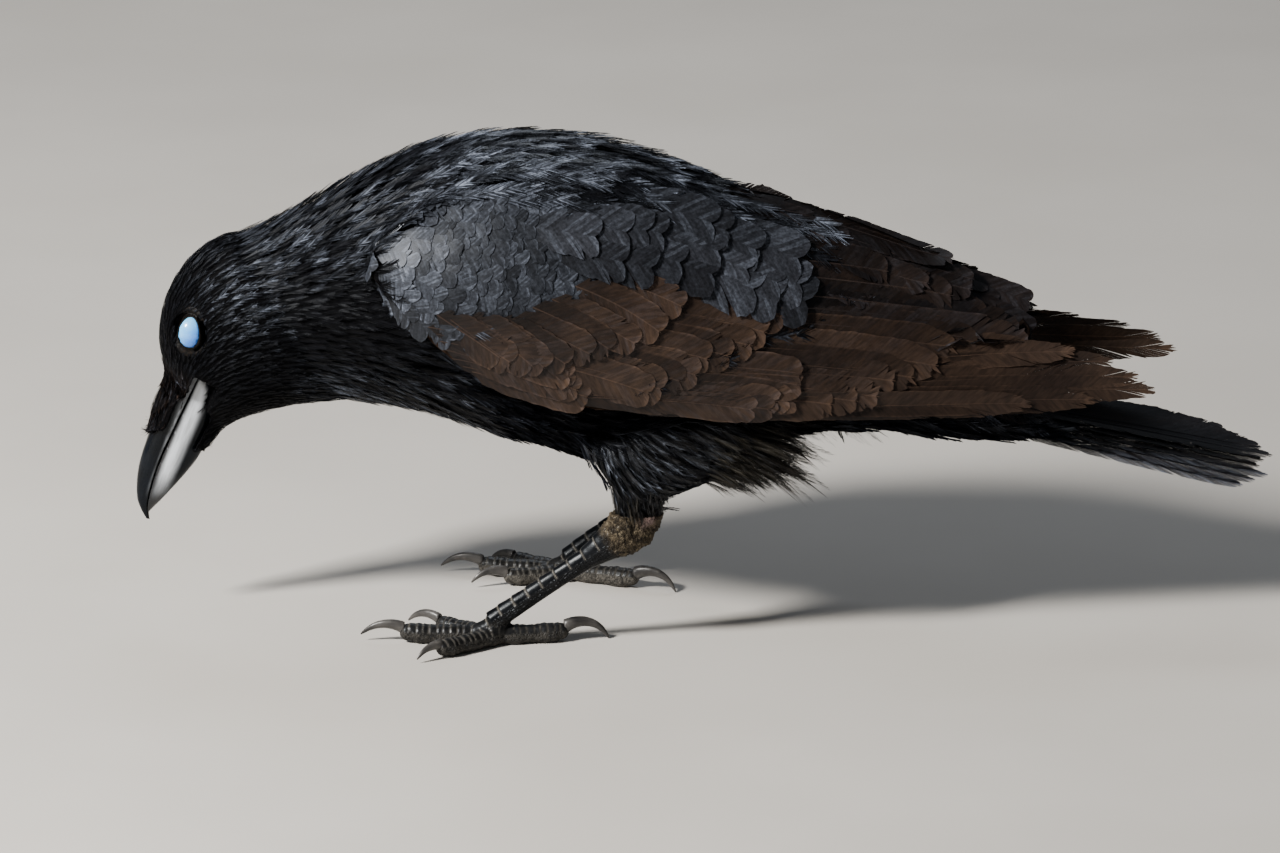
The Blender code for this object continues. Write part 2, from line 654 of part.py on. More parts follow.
def make_legs():
    """Both legs, from the flank to the claws."""
    clearance = cutter(
        "cut_trunk_clearance", body_loft(NECK_END, len(BODY) - 1, TRUNK_RINGS, GAP)
    )
    for word, leg in LEGS.items():
        make_thigh(word, leg, clearance)
        make_tarsus(word, leg)
        for toe in TOES:
            make_toe(word, leg, toe)


def set_on_floor():
    """Centre the bird over the origin with its lowest point on z = 0."""
    graph = bpy.context.evaluated_depsgraph_get()
    corners = []
    for obj in bpy.data.objects:
        if not obj.hide_render:
            corners += [v.co.copy() for v in obj.evaluated_get(graph).data.vertices]
    low = [min(c[k] for c in corners) for k in range(3)]
    high = [max(c[k] for c in corners) for k in range(3)]
    shift = Vector((-(low[0] + high[0]) / 2, -(low[1] + high[1]) / 2, -low[2]))
    for obj in bpy.data.objects:
        obj.data.transform(Matrix.Translation(shift))


def main():
    """Build the bird."""
    clear_scene()
    trunk = make_trunk()
    make_neck()
    make_head()
    make_bill()
    make_bristles()
    make_chin()
    make_eyes()
    make_wing("left", LEFT, trunk)
    make_wing("right", RIGHT, trunk)
    make_primaries("left", LEFT, 0.0, trunk)
    make_primaries("right", RIGHT, FAR_PRIMARY_EXTRA, trunk)
    make_tail()
    make_legs()
    set_on_floor()


main()
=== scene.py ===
"""The looks of a life-size carrion crow: one skin, a coat of feathers, horn, claws and eyes.

Tables and sums here are in the maker's millimetres: the bird faces -X, its left side is -Y and
the floor is z = 0. They are turned to metres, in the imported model's frame, when a mesh is made.
"""

import json
import math
from collections import namedtuple
from contextlib import contextmanager
from functools import cache, cached_property
from itertools import product

import bmesh
import bpy
import numpy as np
from mathutils import Matrix, Vector
from mathutils.bvhtree import BVHTree

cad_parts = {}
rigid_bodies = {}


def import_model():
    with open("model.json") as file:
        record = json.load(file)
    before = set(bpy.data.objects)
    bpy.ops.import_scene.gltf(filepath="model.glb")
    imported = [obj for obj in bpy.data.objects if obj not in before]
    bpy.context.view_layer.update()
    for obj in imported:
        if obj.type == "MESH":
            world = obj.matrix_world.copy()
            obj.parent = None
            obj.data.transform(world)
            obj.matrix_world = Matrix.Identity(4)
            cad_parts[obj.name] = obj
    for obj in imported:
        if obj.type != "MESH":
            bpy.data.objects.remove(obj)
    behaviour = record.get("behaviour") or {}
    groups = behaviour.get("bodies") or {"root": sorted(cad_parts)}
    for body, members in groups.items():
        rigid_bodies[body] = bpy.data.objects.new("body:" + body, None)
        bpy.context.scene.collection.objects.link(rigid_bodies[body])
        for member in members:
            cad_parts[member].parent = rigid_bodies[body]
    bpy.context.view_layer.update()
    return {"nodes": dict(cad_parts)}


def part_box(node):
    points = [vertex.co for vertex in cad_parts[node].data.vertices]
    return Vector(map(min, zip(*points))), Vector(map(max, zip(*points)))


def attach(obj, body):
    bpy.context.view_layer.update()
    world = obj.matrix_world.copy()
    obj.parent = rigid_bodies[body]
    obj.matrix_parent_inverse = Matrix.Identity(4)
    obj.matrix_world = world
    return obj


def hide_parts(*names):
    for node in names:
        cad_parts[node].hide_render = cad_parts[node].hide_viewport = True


bl_info = {
    "name": "Crow coat",
    "version": (1, 0, 0),
    "blender": (4, 5, 0),
    "location": "3D View > Sidebar > Crow",
    "description": "Skin, feathers, horn, claws and eyes of a carrion crow",
    "category": "Add Mesh",
}

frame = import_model()

MM = 0.001
SAME_PLACE = 2e-6  # corners of a CAD node nearer than this, in metres, are one
EYE = np.array((-185.9, -12.1, 111.3))  # centre of the left eyeball
EYE_RADIUS = 7.3
EYE_AXIS = np.array((-0.206, -0.969, 0.139))  # the way the left eye looks
SHIFT = np.array(sum(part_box("eye_left"), Vector()) / 2) - EYE * MM
LEFT, RIGHT = -1, 1
SIDES = {"left": LEFT, "right": RIGHT}
WORDS = {side: word for word, side in SIDES.items()}

# The back line and the belly line, from the base of the bill to the tail, as (x, z).
TOP_LINE = np.array((
    (-196.7, 91.9), (-199.5, 102.2), (-198.7, 113.9), (-194.7, 126.1), (-186.3, 137.5), (-173.8, 145.4),
    (-160.6, 148.6), (-146.0, 156.2), (-129.1, 165.8), (-111.6, 174.6), (-92.0, 180.8), (-70.2, 183.4),
    (-47.3, 181.1), (-23.7, 174.7), (-1.8, 164.8), (20.1, 153.0), (42.1, 139.0), (64.0, 123.5),
    (85.9, 107.5), (107.8, 93.0), (126.1, 81.6),
))
LOW_LINE = np.array((
    (-174.2, 70.7), (-168.8, 74.2), (-162.6, 76.2), (-153.9, 78.9), (-143.7, 80.5), (-133.5, 81.3),
    (-122.6, 81.1), (-111.7, 80.3), (-100.1, 78.4), (-86.2, 73.8), (-71.5, 69.2), (-56.8, 65.5),
    (-41.4, 60.5), (-23.7, 58.2), (-1.8, 62.3), (21.9, 67.0), (45.5, 71.0), (67.4, 70.8), (89.3, 67.9),
    (111.2, 67.2), (127.6, 68.5),
))
STATIONS = np.arange(len(TOP_LINE))  # the numbers of the points on both lines

GAPE = np.array((-185.1, 0.0, 90.1))  # between the corners of the mouth
BILL_PITCH = math.radians(69.9)
BILL_AHEAD = np.array((-math.cos(BILL_PITCH), 0.0, -math.sin(BILL_PITCH)))
BILL_ABOVE = np.array((-math.sin(BILL_PITCH), 0.0, math.cos(BILL_PITCH)))
BRISTLE_END = 28.5  # how far along the bill the bristles reach

# The tail: where its quills begin and the longest ends; its height at x = 200, how it falls backwards
# and how it is rolled; half its width at the base, how it spreads and how far it is shifted to the
# right; how round its end is, which quill is the longest and how arched it is across.
TAIL_ROOT, TAIL_TIP = 112.0, 208.3
TAIL_HEIGHT, TAIL_FALL, TAIL_ROLL = 59.8, -0.199, 0.178
TAIL_HALF_ROOT, TAIL_SPREAD, TAIL_SHIFT = 18.0, 0.115, 2.0
TAIL_ROUNDING, TAIL_LONGEST, TAIL_CAMBER = 20.0, -0.25, 2.5
TAIL_QUILLS = 12

# A leg: where its foot stands as (x, y), where its heel joint and the top of its bare skin are as
# (x, z), and how many degrees each toe is turned outwards.
Leg = namedtuple("Leg", "side foot heel top headings")
LEGS = {
    "left": Leg(
        LEFT, (-75.0, -37.5), (-27.5, 43.5), (-24.8, 50.0),
        {"inner": -32.0, "middle": -4.0, "outer": 38.0, "hind": 9.0},
    ),
    "right": Leg(
        RIGHT, (-48.0, 38.5), (-1.5, 46.5), (1.5, 53.0),
        {"inner": -15.0, "middle": 11.0, "outer": 32.0, "hind": 22.0},
    ),
}
# How long each toe is, and its radius before the claw.
TOE_LENGTHS = {"inner": (25.0, 3.4), "middle": (34.0, 3.7), "outer": (26.0, 3.5), "hind": (23.5, 3.7)}

# The nodes that the skin takes the place of.
FLESH = [
    "head", "neck", "trunk", "chin", "nasal_bristles", "thigh_left", "thigh_right", "wing_left", "wing_right",
]


# ---- small sums ----


def curve(knots, x):
    """Values at x of a line through (place, value) knots."""
    places, values = np.array(knots, float).T
    return np.interp(x, places, values)


def ease(low, high, x):
    """0 below low, 1 above high, smooth between."""
    t = np.clip((x - low) / (high - low), 0.0, 1.0)
    return t * t * (3 - 2 * t)


def unit(vectors):
    """Vectors of length one."""
    return vectors / np.maximum(np.linalg.norm(vectors, axis=-1, keepdims=True), 1e-9)


def flatten(vectors, normals):
    """Unit vectors with the part along the normals taken away."""
    return unit(vectors - (vectors * normals).sum(-1, keepdims=True) * normals)


def turn(vectors, normals, angles):
    """Vectors turned about their normals by angles in radians."""
    c, s = np.cos(angles)[..., None], np.sin(angles)[..., None]
    return vectors * c + np.cross(normals, vectors) * s


def bow(a, middle, b, t):
    """Points on a bowed line that goes through a, middle and b as t runs from 0 to 1."""
    a, middle, b, t = np.array(a), np.array(middle), np.array(b), np.asarray(t)[..., None]
    return a * (1 - t) * (1 - 2 * t) + middle * 4 * t * (1 - t) + b * t * (2 * t - 1)


def mirrored(vector, side):
    """The left side's vector on either side."""
    return vector * np.array((1, -side, 1))


def eye_frame(side):
    """The eye's centre and its ways across, up and outwards."""
    axis = mirrored(EYE_AXIS, side)
    up = flatten(np.array((0.06, 0.0, 1.0)), axis)
    return mirrored(EYE, side), np.cross(up, axis) * -side, up, axis


def eye_offset(points, side):
    """How far points are from the eye's centre across, up and outwards."""
    centre, across, up, axis = eye_frame(side)
    away = points - centre
    return away @ across, away @ up, away @ axis


def eye_gap(points):
    """How far points are from the nearer eye's centre."""
    return np.min([np.linalg.norm(points - mirrored(EYE, side), axis=1) for side in SIDES.values()], 0)


def in_plane(x, z):
    """Headings that have no part across the body."""
    x, z = np.broadcast_arrays(x, z)
    return unit(np.stack([x, np.zeros(len(x)), z], 1))


# ---- meshes ----


def numbers_of(items, key, per=1, kind=np.float32):
    """One property of each item of a mesh, a row for each."""
    flat = np.empty(len(items) * per, kind)
    items.foreach_get(key, flat)
    return flat.reshape(-1, per)


def taken_from(bm):
    """Points and faces of a bmesh, which is then freed."""
    points, faces = np.array([v.co for v in bm.verts]), [[v.index for v in f.verts] for f in bm.faces]
    bm.free()
    return points, faces


@contextmanager
def edited(mesh):
    """A bmesh that changes a mesh."""
    bm = bmesh.new()
    bm.from_mesh(mesh)
    yield bm
    bm.to_mesh(mesh)
    bm.free()


def joined(parts):
    """Points and faces of several meshes as one."""
    points, faces, base = [], [], 0
    for more, those in parts:
        points.append(more)
        faces += [[base + i for i in f] for f in those]
        base += len(more)
    return np.concatenate(points), faces


def node_mesh(name):
    """Vertices, in the maker's millimetres, and faces of a CAD node, its loose triangles merged."""
    bm = bmesh.new()
    bm.from_mesh(frame["nodes"][name].data)
    bmesh.ops.remove_doubles(bm, verts=bm.verts, dist=SAME_PLACE)
    bmesh.ops.recalc_face_normals(bm, faces=bm.faces)
    points, faces = taken_from(bm)
    return (points - SHIFT) / MM, faces


def new_mesh(name, points, faces):
    """A smooth mesh from points in the maker's millimetres."""
    mesh = bpy.data.meshes.new(name)
    mesh.from_pydata((np.asarray(points) * MM + SHIFT).tolist(), [], [list(f) for f in faces])
    mesh.shade_smooth()
    mesh.update()
    return mesh


def new_object(name, mesh):
    """An object at the origin that shows a mesh."""
    obj = bpy.data.objects.new(name, mesh)
    bpy.context.scene.collection.objects.link(obj)
    return obj


def applied(obj):
    """Turn an object's modifiers into plain mesh and return the object."""
    graph = bpy.context.evaluated_depsgraph_get()
    mesh = bpy.data.meshes.new_from_object(obj.evaluated_get(graph), depsgraph=graph)
    obj.modifiers.clear()
    old = obj.data
    obj.data = mesh
    mesh.name = obj.name
    bpy.data.meshes.remove(old)
    return obj


def co_of(mesh):
    """Vertices of a mesh in the maker's millimetres."""
    return (numbers_of(mesh.vertices, "co", 3).astype(float) - SHIFT) / MM


def set_co(mesh, points):
    """Move the vertices of a mesh to points in the maker's millimetres."""
    mesh.vertices.foreach_set("co", (points * MM + SHIFT).astype(np.float32).ravel())
    mesh.update()


def normals_of(mesh):
    """Vertex normals of a mesh."""
    return numbers_of(mesh.vertex_normals, "vector", 3).astype(float)


def attribute(mesh, name, values, kind="FLOAT"):
    """Store one value for each point of a mesh."""
    layer = mesh.attributes.new(name, kind, "POINT")
    key = "vector" if kind == "FLOAT_VECTOR" else "value"
    dtype = np.int32 if kind == "INT" else np.float32
    layer.data.foreach_set(key, np.ascontiguousarray(values, dtype).ravel())


def chart_corners(mesh, name, per_vertex):
    """A UV map that gives each corner its vertex's place."""
    corners = numbers_of(mesh.loops, "vertex_index", kind=np.int32)[:, 0]
    mesh.uv_layers.new(name=name).data.foreach_set("uv", per_vertex[corners].astype(np.float32).ravel())


def relax(mesh, values, rounds):
    """Even out values over a mesh along its edges."""
    a, b = numbers_of(mesh.edges, "vertices", 2, np.int32).T
    flat = values.reshape(len(mesh.vertices), -1).copy()
    ends, size = np.r_[a, b], len(flat)
    count = np.maximum(np.bincount(ends, minlength=size), 1)[:, None]
    for _ in range(rounds):
        across = [np.bincount(ends, weights=np.r_[column[b], column[a]], minlength=size) for column in flat.T]
        flat += (np.stack(across, 1) / count - flat) * 0.5
    return flat.reshape(values.shape)


SCATTER_TRIES = 5.0  # places tried for each feather that would fit


class Surface:
    """A closed surface that feathers are laid on; it is all triangles where no smooth normals are given."""

    def __init__(self, points, faces, tags=None, smooth=None):
        self.points, self.faces, self.tags = np.asarray(points, float), faces, tags
        self.tree = BVHTree.FromPolygons(self.points.tolist(), faces)
        corners = np.array([f[:3] for f in faces])
        a, b, c = (self.points[corners[:, k]] for k in range(3))
        self.middles = np.array([self.points[f].mean(0) for f in faces])
        cross = np.cross(b - a, c - a)
        self.areas = np.linalg.norm(cross, axis=1) / 2 * np.array([1 if len(f) == 3 else 2 for f in faces])
        if smooth is None:
            smooth = np.zeros_like(self.points)
            for k in range(3):
                np.add.at(smooth, corners[:, k], cross)
            smooth = unit(smooth)
        self.face_normals = unit(np.array([smooth[f].sum(0) for f in faces]))

    def nearest(self, points):
        """Feet on the surface, smooth normals there, faces and distances."""
        feet, _, faces, gaps = zip(*[self.tree.find_nearest(p) for p in points.tolist()])
        faces = np.array(faces)
        return np.array(feet), self.face_normals[faces], faces, np.array(gaps)

    def cast(self, points, ways):
        """Where rays meet the surface, NaN where they miss, and the normals there."""
        hits, normals = [], []
        for p, w in zip(points.tolist(), ways.tolist()):
            hit, _, face, _ = self.tree.ray_cast(p, w)
            hits.append(hit if hit else (math.nan,) * 3)
            normals.append(self.face_normals[face] if hit else (math.nan,) * 3)
        return np.array(hits), np.array(normals)

    def scatter(self, allowed, spacing, rng):
        """Roots on the allowed faces at least a spacing apart, with their normals; the spacing is a
        number or depends on the place."""
        gap_at = spacing if callable(spacing) else lambda points: np.full(len(points), spacing)
        faces = np.nonzero(allowed)[0]
        gap = gap_at(self.middles[faces])
        share = self.areas[faces] / gap**2
        count = int(share.sum() * SCATTER_TRIES)
        picks = faces[rng.choice(len(faces), count, p=share / share.sum())]
        weights = rng.dirichlet((1, 1, 1, 1), count)
        corners = np.array([(self.faces[f] + self.faces[f][:1])[:4] for f in picks])
        points = (self.points[corners] * weights[..., None]).sum(1)
        keys = np.floor(points / float(gap.max())).astype(int).tolist()
        around = list(product((-1, 0, 1), repeat=3))
        grid, kept = {}, []
        for n, (p, key, r) in enumerate(zip(points.tolist(), keys, gap_at(points).tolist())):
            near = False
            for i, j, k in around:
                for q in grid.get((key[0] + i, key[1] + j, key[2] + k), ()):
                    if (p[0] - q[0]) ** 2 + (p[1] - q[1]) ** 2 + (p[2] - q[2]) ** 2 < r * r:
                        near = True
                        break
                if near:
                    break
            if not near:
                grid.setdefault(tuple(key), []).append(p)
                kept.append(n)
        return points[kept], self.face_normals[picks[kept]]


# ---- the body's own coordinates ----


def between(s, line):
    """Points of a line, given at the stations, at places between them."""
    return np.stack([np.interp(s, STATIONS, line[:, k]) for k in (0, 1)], 1)


def body_place(points):
    """How far each point is along the body, counted in stations, and up from belly 0 to back 1."""
    x, z = points[:, 0:1], points[:, 2:3]
    bx, bz = LOW_LINE.T
    rise_x, rise_z = (TOP_LINE - LOW_LINE).T
    height = np.hypot(rise_x, rise_z)
    ahead = (rise_x * (z - bz) - rise_z * (x - bx)) / height
    i = np.clip((ahead < 0).sum(1) - 1, 0, len(STATIONS) - 2)
    rows = np.arange(len(points))
    behind, before = np.abs(ahead[rows, i]), np.abs(ahead[rows, i + 1])
    s = i + behind / np.maximum(behind + before, 1e-6)
    low = between(s, LOW_LINE)
    rise = between(s, TOP_LINE) - low
    up = ((points[:, [0, 2]] - low) * rise).sum(1) / (rise * rise).sum(1)
    return s, np.clip(up, 0.0, 1.0)


TOP_RUN = unit(np.gradient(TOP_LINE, axis=0))
LOW_RUN = unit(np.gradient(LOW_LINE, axis=0))


def body_flow(points):
    """The way the coat lies at each point: from the bill to the tail."""
    s, up = body_place(points)
    run = between(s, TOP_RUN) * up[:, None] + between(s, LOW_RUN) * (1 - up[:, None])
    return in_plane(*run.T)


def body_chart(points):
    """The unwrap of the body: along it, and round it from the belly over the left side."""
    s, up = body_place(points)
    round_it = np.where(points[:, 1] < 0, 0.25 + 0.23 * (up * 2 - 1), 0.75 - 0.23 * (up * 2 - 1))
    return np.stack([0.02 + 0.96 * s / STATIONS[-1], round_it], 1)


def side_chart(points):
    """The unwrap of a wing, which is nearly flat: along it and up it."""
    across = (points[:, 2] - 80.0) / 110.0
    return np.clip(np.stack([0.02 + 0.96 * (points[:, 0] + 125.0) / 300.0, across], 1), 0.005, 0.995)


def level_chart(points):
    """The unwrap of the tail: along it and across it."""
    return np.clip(np.stack([(points[:, 0] - 95.0) / 118.0, 0.5 + points[:, 1] / 75.0], 1), 0.005, 0.995)


# ---- node trees ----


class Value:
    """A node's output, which can be used in sums."""

    def __init__(self, nodes, socket):
        self.nodes, self.socket = nodes, socket

    def __add__(self, other):
        return self.nodes.math("ADD", self, other)

    def __sub__(self, other):
        return self.nodes.math("SUBTRACT", self, other)

    def __mul__(self, other):
        return self.nodes.math("MULTIPLY", self, other)

    def __truediv__(self, other):
        return self.nodes.math("DIVIDE", self, other)

    def vector(self, operation, other):
        """A Vector Math node's result; for SCALE the other is a number."""
        inputs = {0: self, "Scale" if operation == "SCALE" else 1: other}
        return self.nodes.add("ShaderNodeVectorMath", inputs, operation=operation)

    def mapped(self, low, high, to_low=0.0, to_high=1.0):
        """This value moved from one range to another, held at its ends."""
        inputs = enumerate((self, low, high, to_low, to_high))
        return self.nodes.add("ShaderNodeMapRange", inputs, interpolation_type="SMOOTHSTEP")

    def also(self, name):
        """Another output of the same node."""
        return Value(self.nodes, self.socket.node.outputs[name])


class Nodes:
    """Short ways to build one node tree."""

    def __init__(self, tree):
        self.tree = tree

    def give(self, socket, value):
        """Wire a value to a socket, or set a plain number, vector or colour on it."""
        if isinstance(value, Value):
            self.tree.links.new(value.socket, socket)
        else:
            socket.default_value = (*value, 1.0) if socket.type == "RGBA" else value

    def add(self, kind, inputs=(), out=0, **settings):
        """An output of a new node with these inputs and settings."""
        node = self.tree.nodes.new(kind)
        for key, value in settings.items():
            setattr(node, key, value)
        for key, value in dict(inputs).items():
            self.give(node.inputs[key], value)
        return Value(self, node.outputs[out] if node.outputs else None)

    def math(self, operation, *values):
        """A Math node's result."""
        return self.add("ShaderNodeMath", enumerate(values), operation=operation)

    def field(self, name, data_type="FLOAT"):
        """A named attribute in a geometry tree."""
        return self.add("GeometryNodeInputNamedAttribute", {"Name": name}, data_type=data_type)

    def read(self, name):
        """A mesh attribute in a shader."""
        return self.add("ShaderNodeAttribute", out="Fac", attribute_name=name)

    @cached_property
    def place(self):
        """Object coordinates."""
        return self.add("ShaderNodeTexCoord", out="Object")

    def noise(self, scale, detail=2.0, rough=0.5, on=None):
        """Noise over the piece, or on a vector of its own."""
        inputs = {"Vector": on or self.place, "Scale": scale, "Detail": detail, "Roughness": rough}
        return self.add("ShaderNodeTexNoise", inputs)

    def mix(self, factor, a, b, blend="MIX"):
        """A mix of two colours."""
        inputs = {0: factor, 6: a, 7: b}
        return self.add("ShaderNodeMix", inputs, 2, data_type="RGBA", blend_type=blend, clamp_factor=True)


class Group(Nodes):
    """A new node group; its sockets are given as names with their kinds and defaults."""

    def __init__(self, name, kind, inputs, outputs):
        super().__init__(bpy.data.node_groups.new(name, kind))
        for direction, sockets in (("INPUT", inputs), ("OUTPUT", outputs)):
            for label, (socket, *default) in sockets.items():
                face = self.tree.interface.new_socket(
                    label, in_out=direction, socket_type="NodeSocket" + socket
                )
                if default:
                    face.default_value = default[0]
        sources = self.tree.nodes.new("NodeGroupInput").outputs
        self.given = {socket.name: Value(self, socket) for socket in sources if socket.name}
        self.ends = self.tree.nodes.new("NodeGroupOutput").inputs

    def finished(self, **values):
        """The tree, with its outputs wired."""
        for key, value in values.items():
            self.give(self.ends[key], value)
        return self.tree


def lay_vanes_tree():
    """Instances one vane at each root, then bends it along its own row of guide points."""
    inputs = {
        "Roots": ("Geometry",), "Guides": ("Object",), "Vanes": ("Collection",), "Guide points": ("Int",),
        "Patch": ("Float",), "Finish": ("Material",),
    }
    group = Group("lay_vanes", "GeometryNodeTree", inputs, {"Coat": ("Geometry",)})
    add, math_of, field, given = group.add, group.math, group.field, group.given
    numbered = add(
        "GeometryNodeStoreNamedAttribute",
        {"Name": "feather", "Geometry": given["Roots"], "Value": add("GeometryNodeInputIndex")},
        data_type="INT", domain="POINT",
    )
    shapes = {"Collection": given["Vanes"], "Separate Children": True, "Reset Children": True}
    placed = {
        "Points": numbered, "Instance": add("GeometryNodeCollectionInfo", shapes), "Pick Instance": True,
        "Instance Index": field("kind", "INT"),
    }
    vanes = add("GeometryNodeRealizeInstances", {"Geometry": add("GeometryNodeInstanceOnPoints", placed)})

    guides = add("GeometryNodeObjectInfo", {"Object": given["Guides"]}, "Geometry")
    last = given["Guide points"] - 1
    along = field("along") * last
    step = math_of("MAXIMUM", math_of("FLOOR", math_of("MINIMUM", along, last - 1)), 0)
    part = along - step
    first = field("feather", "INT") * given["Guide points"] + step
    second = first + 1

    def sampled(value):
        """A guide field, blended between the two guide points beside a vertex."""
        here, there = (
            add(
                "GeometryNodeSampleIndex", {"Geometry": guides, "Value": value, "Index": index},
                data_type="FLOAT_VECTOR", domain="POINT",
            )
            for index in (first, second)
        )
        return here.vector("ADD", there.vector("SUBTRACT", here).vector("SCALE", part))

    spine = sampled(add("GeometryNodeInputPosition"))
    side = sampled(field("side", "FLOAT_VECTOR"))
    up = sampled(field("up", "FLOAT_VECTOR"))
    across, width = field("across"), field("half_width")
    rise = field("rise") - across * across * field("hug") + across * field("roll")
    off = side.vector("SCALE", across * width).vector("ADD", up.vector("SCALE", rise * width))
    bent = add("GeometryNodeSetPosition", {"Geometry": vanes, "Position": spine.vector("ADD", off)})

    vane = field("Vane", "FLOAT_VECTOR").vector("SUBTRACT", (0.5, 0.5, 0.0))
    chart = field("chart", "FLOAT_VECTOR").vector("ADD", vane.vector("SCALE", given["Patch"]))
    stored = add(
        "GeometryNodeStoreNamedAttribute", {"Name": "OFBake", "Geometry": bent, "Value": chart},
        data_type="FLOAT2", domain="CORNER",
    )
    real = add("GeometryNodeRealizeInstances", {"Geometry": stored})
    coat = add("GeometryNodeSetMaterial", {"Geometry": real, "Material": given["Finish"]})
    return group.finished(Coat=coat)


# ---- vane shapes ----

# A vane: how many barb groups a side and cells in each; how far forwards they lean; its width along
# it; what share of the gaps between them is parted and from how far out; how much each group narrows
# and is ruffled; and half the width of the shaft, 0 for none.
Vane = namedtuple("Vane", "barbs cells lean profile cut cut_from thin ruffle shaft")
VANES = {
    # fine tufts of the head and throat
    "hackle": Vane(6, 2, 0.50, ((0, 0.45), (0.3, 1), (0.7, 0.85), (1, 0.45)), 1.0, 0.05, 0.60, 0.06, 0.0),
    # narrow feathers of the neck, mantle and breast
    "lance": Vane(9, 2, 0.42, ((0, 0.5), (0.35, 1), (0.7, 0.9), (1, 0.45)), 0.7, 0.35, 0.35, 0.045, 0.0),
    # loose shaggy feathers of the thigh and belly
    "shag": Vane(8, 2, 0.55, ((0, 0.5), (0.4, 1), (0.8, 0.85), (1, 0.5)), 1.0, 0.08, 0.7, 0.13, 0.0),
    # single stiff hairs over the base of the bill
    "bristle": Vane(2, 2, 0.75, ((0, 0.6), (0.5, 1), (1, 0.4)), 1.0, 0.02, 0.85, 0.10, 0.0),
    # rounded feathers of the shoulder
    "round": Vane(18, 3, 0.26, ((0, 0.5), (0.25, 0.9), (0.6, 1), (0.8, 0.86), (0.92, 0.58), (1, 0.2)),
                  0.10, 0.84, 0.03, 0.006, 0.0),
    # large coverts
    "covert": Vane(22, 3, 0.17, ((0, 0.6), (0.2, 0.92), (0.65, 1), (0.83, 0.86), (0.94, 0.54), (1, 0.14)),
                   0.08, 0.70, 0.015, 0.008, 0.03),
    # long quills of the wing and the tail
    "quill": Vane(40, 3, 0.09, ((0, 0.85), (0.5, 1), (0.8, 0.93), (0.92, 0.66), (0.98, 0.34), (1, 0.1)),
                  0.08, 0.60, 0.015, 0.008, 0.045),
    # quills whose tips are worn to loose hairs
    "frayed": Vane(60, 3, 0.10, ((0, 0.9), (0.5, 1), (0.8, 0.90), (0.93, 0.60), (1, 0.15)),
                   0.07, 0.60, 0.0, 0.012, 0.05),
}
VARIANTS = 4
VANE_ORDER = list(VANES)
VANE_DRAWS = 7  # seed of the vanes' own shapes
FLAT_VANE = 0.01  # how long a vane is, in metres, before it is laid
SHAFT_PARTS = 12


def barb_groups(vane, fray, rng):
    """Points, rises, strands and faces of a vane's two webs; fray 1 wears away its tip."""
    points, rises, strands, faces = [], [], [], []
    count = vane.barbs + 1
    starts = np.linspace(0.0, 1.0, count)
    worn = ease(0.84, 1.0, starts) * fray
    for side in (-1, 1):
        reach = curve(vane.profile, starts) * (1 + rng.normal(0, 0.025, count))
        reach *= 1 - worn * (0.1 + 0.4 * rng.random(count))
        parted = rng.random(count) < vane.cut + 0.2 * worn
        gap = (0.9 - 0.3 * worn) / vane.barbs * (0.3 + 0.6 * rng.random(count))
        for i in range(vane.barbs):
            base = len(points)
            strand = rng.random()
            short = 1.0 - 0.10 * rng.random() * (parted[i] or parted[i + 1])
            for j in range(vane.cells + 1):
                q = j / vane.cells
                edges = []
                for k, inward in ((i, 1), (i + 1, -1)):
                    lean = vane.lean * (1 + 0.5 * worn[k])
                    u = starts[k] * (1 - vane.lean * 0.45) + lean * q**0.92 * reach[k]
                    if parted[k]:
                        u += inward * gap[k] * max(0.0, (q - vane.cut_from) / (1 - vane.cut_from))
                    edges.append((u, side * q * reach[k] * short))
                middle = [sum(pair) / 2 for pair in zip(*edges)]
                keep = 1.0 - vane.thin * q**1.5
                for edge, tip in zip(edges, (0.5, -0.5)):
                    points.append((*(m + (w - m) * keep for m, w in zip(middle, edge)), 0.0))
                    rises.append(vane.ruffle * tip * q + vane.ruffle * 0.8 * (strand - 0.5) * q * q)
                    strands.append(strand)
            for a in range(base, base + 2 * vane.cells, 2):
                faces.append((a, a + 1, a + 3, a + 2) if side > 0 else (a, a + 2, a + 3, a + 1))
    return points, rises, strands, faces


def shaft_ridge(vane, base):
    """Points, rises, strands and faces of a vane's raised shaft; its points are counted from a base."""
    points, rises, faces = [], [], []
    for k in range(SHAFT_PARTS + 1):
        u = k / SHAFT_PARTS * (1 - vane.lean * 0.3)
        r = vane.shaft * (1 - 0.75 * k / SHAFT_PARTS)
        for v, rise in ((-r, 0.0), (0.0, r * 1.2), (r, 0.0)):
            points.append((u, v, 0.0))
            rises.append(rise + 0.01)
        if k:
            a = base + 3 * (k - 1)
            faces += [(a, a + 3, a + 4, a + 1), (a + 1, a + 4, a + 5, a + 2)]
    return points, rises, [0.5] * len(points), faces


def vane_mesh(name, vane, rng):
    """One flat vane of barb groups that leave the shaft forwards, some of them parted."""
    parts = barb_groups(vane, name.startswith("frayed"), rng)
    if vane.shaft:
        parts = [a + b for a, b in zip(parts, shaft_ridge(vane, len(parts[0])))]
    points, rises, strands, faces = parts
    points = np.array(points)
    points[:, 0] = np.clip(points[:, 0] / points[:, 0].max(), 0, 1)
    mesh = bpy.data.meshes.new(name)
    mesh.from_pydata((points * FLAT_VANE).tolist(), [], faces)
    mesh.shade_smooth()
    along, across, _ = points.T
    for key, values in (("along", along), ("across", across), ("rise", rises), ("strand", strands)):
        attribute(mesh, key, values)
    chart_corners(mesh, "Vane", np.stack([along, 0.5 + 0.5 * np.clip(across, -1, 1)], 1))
    return mesh


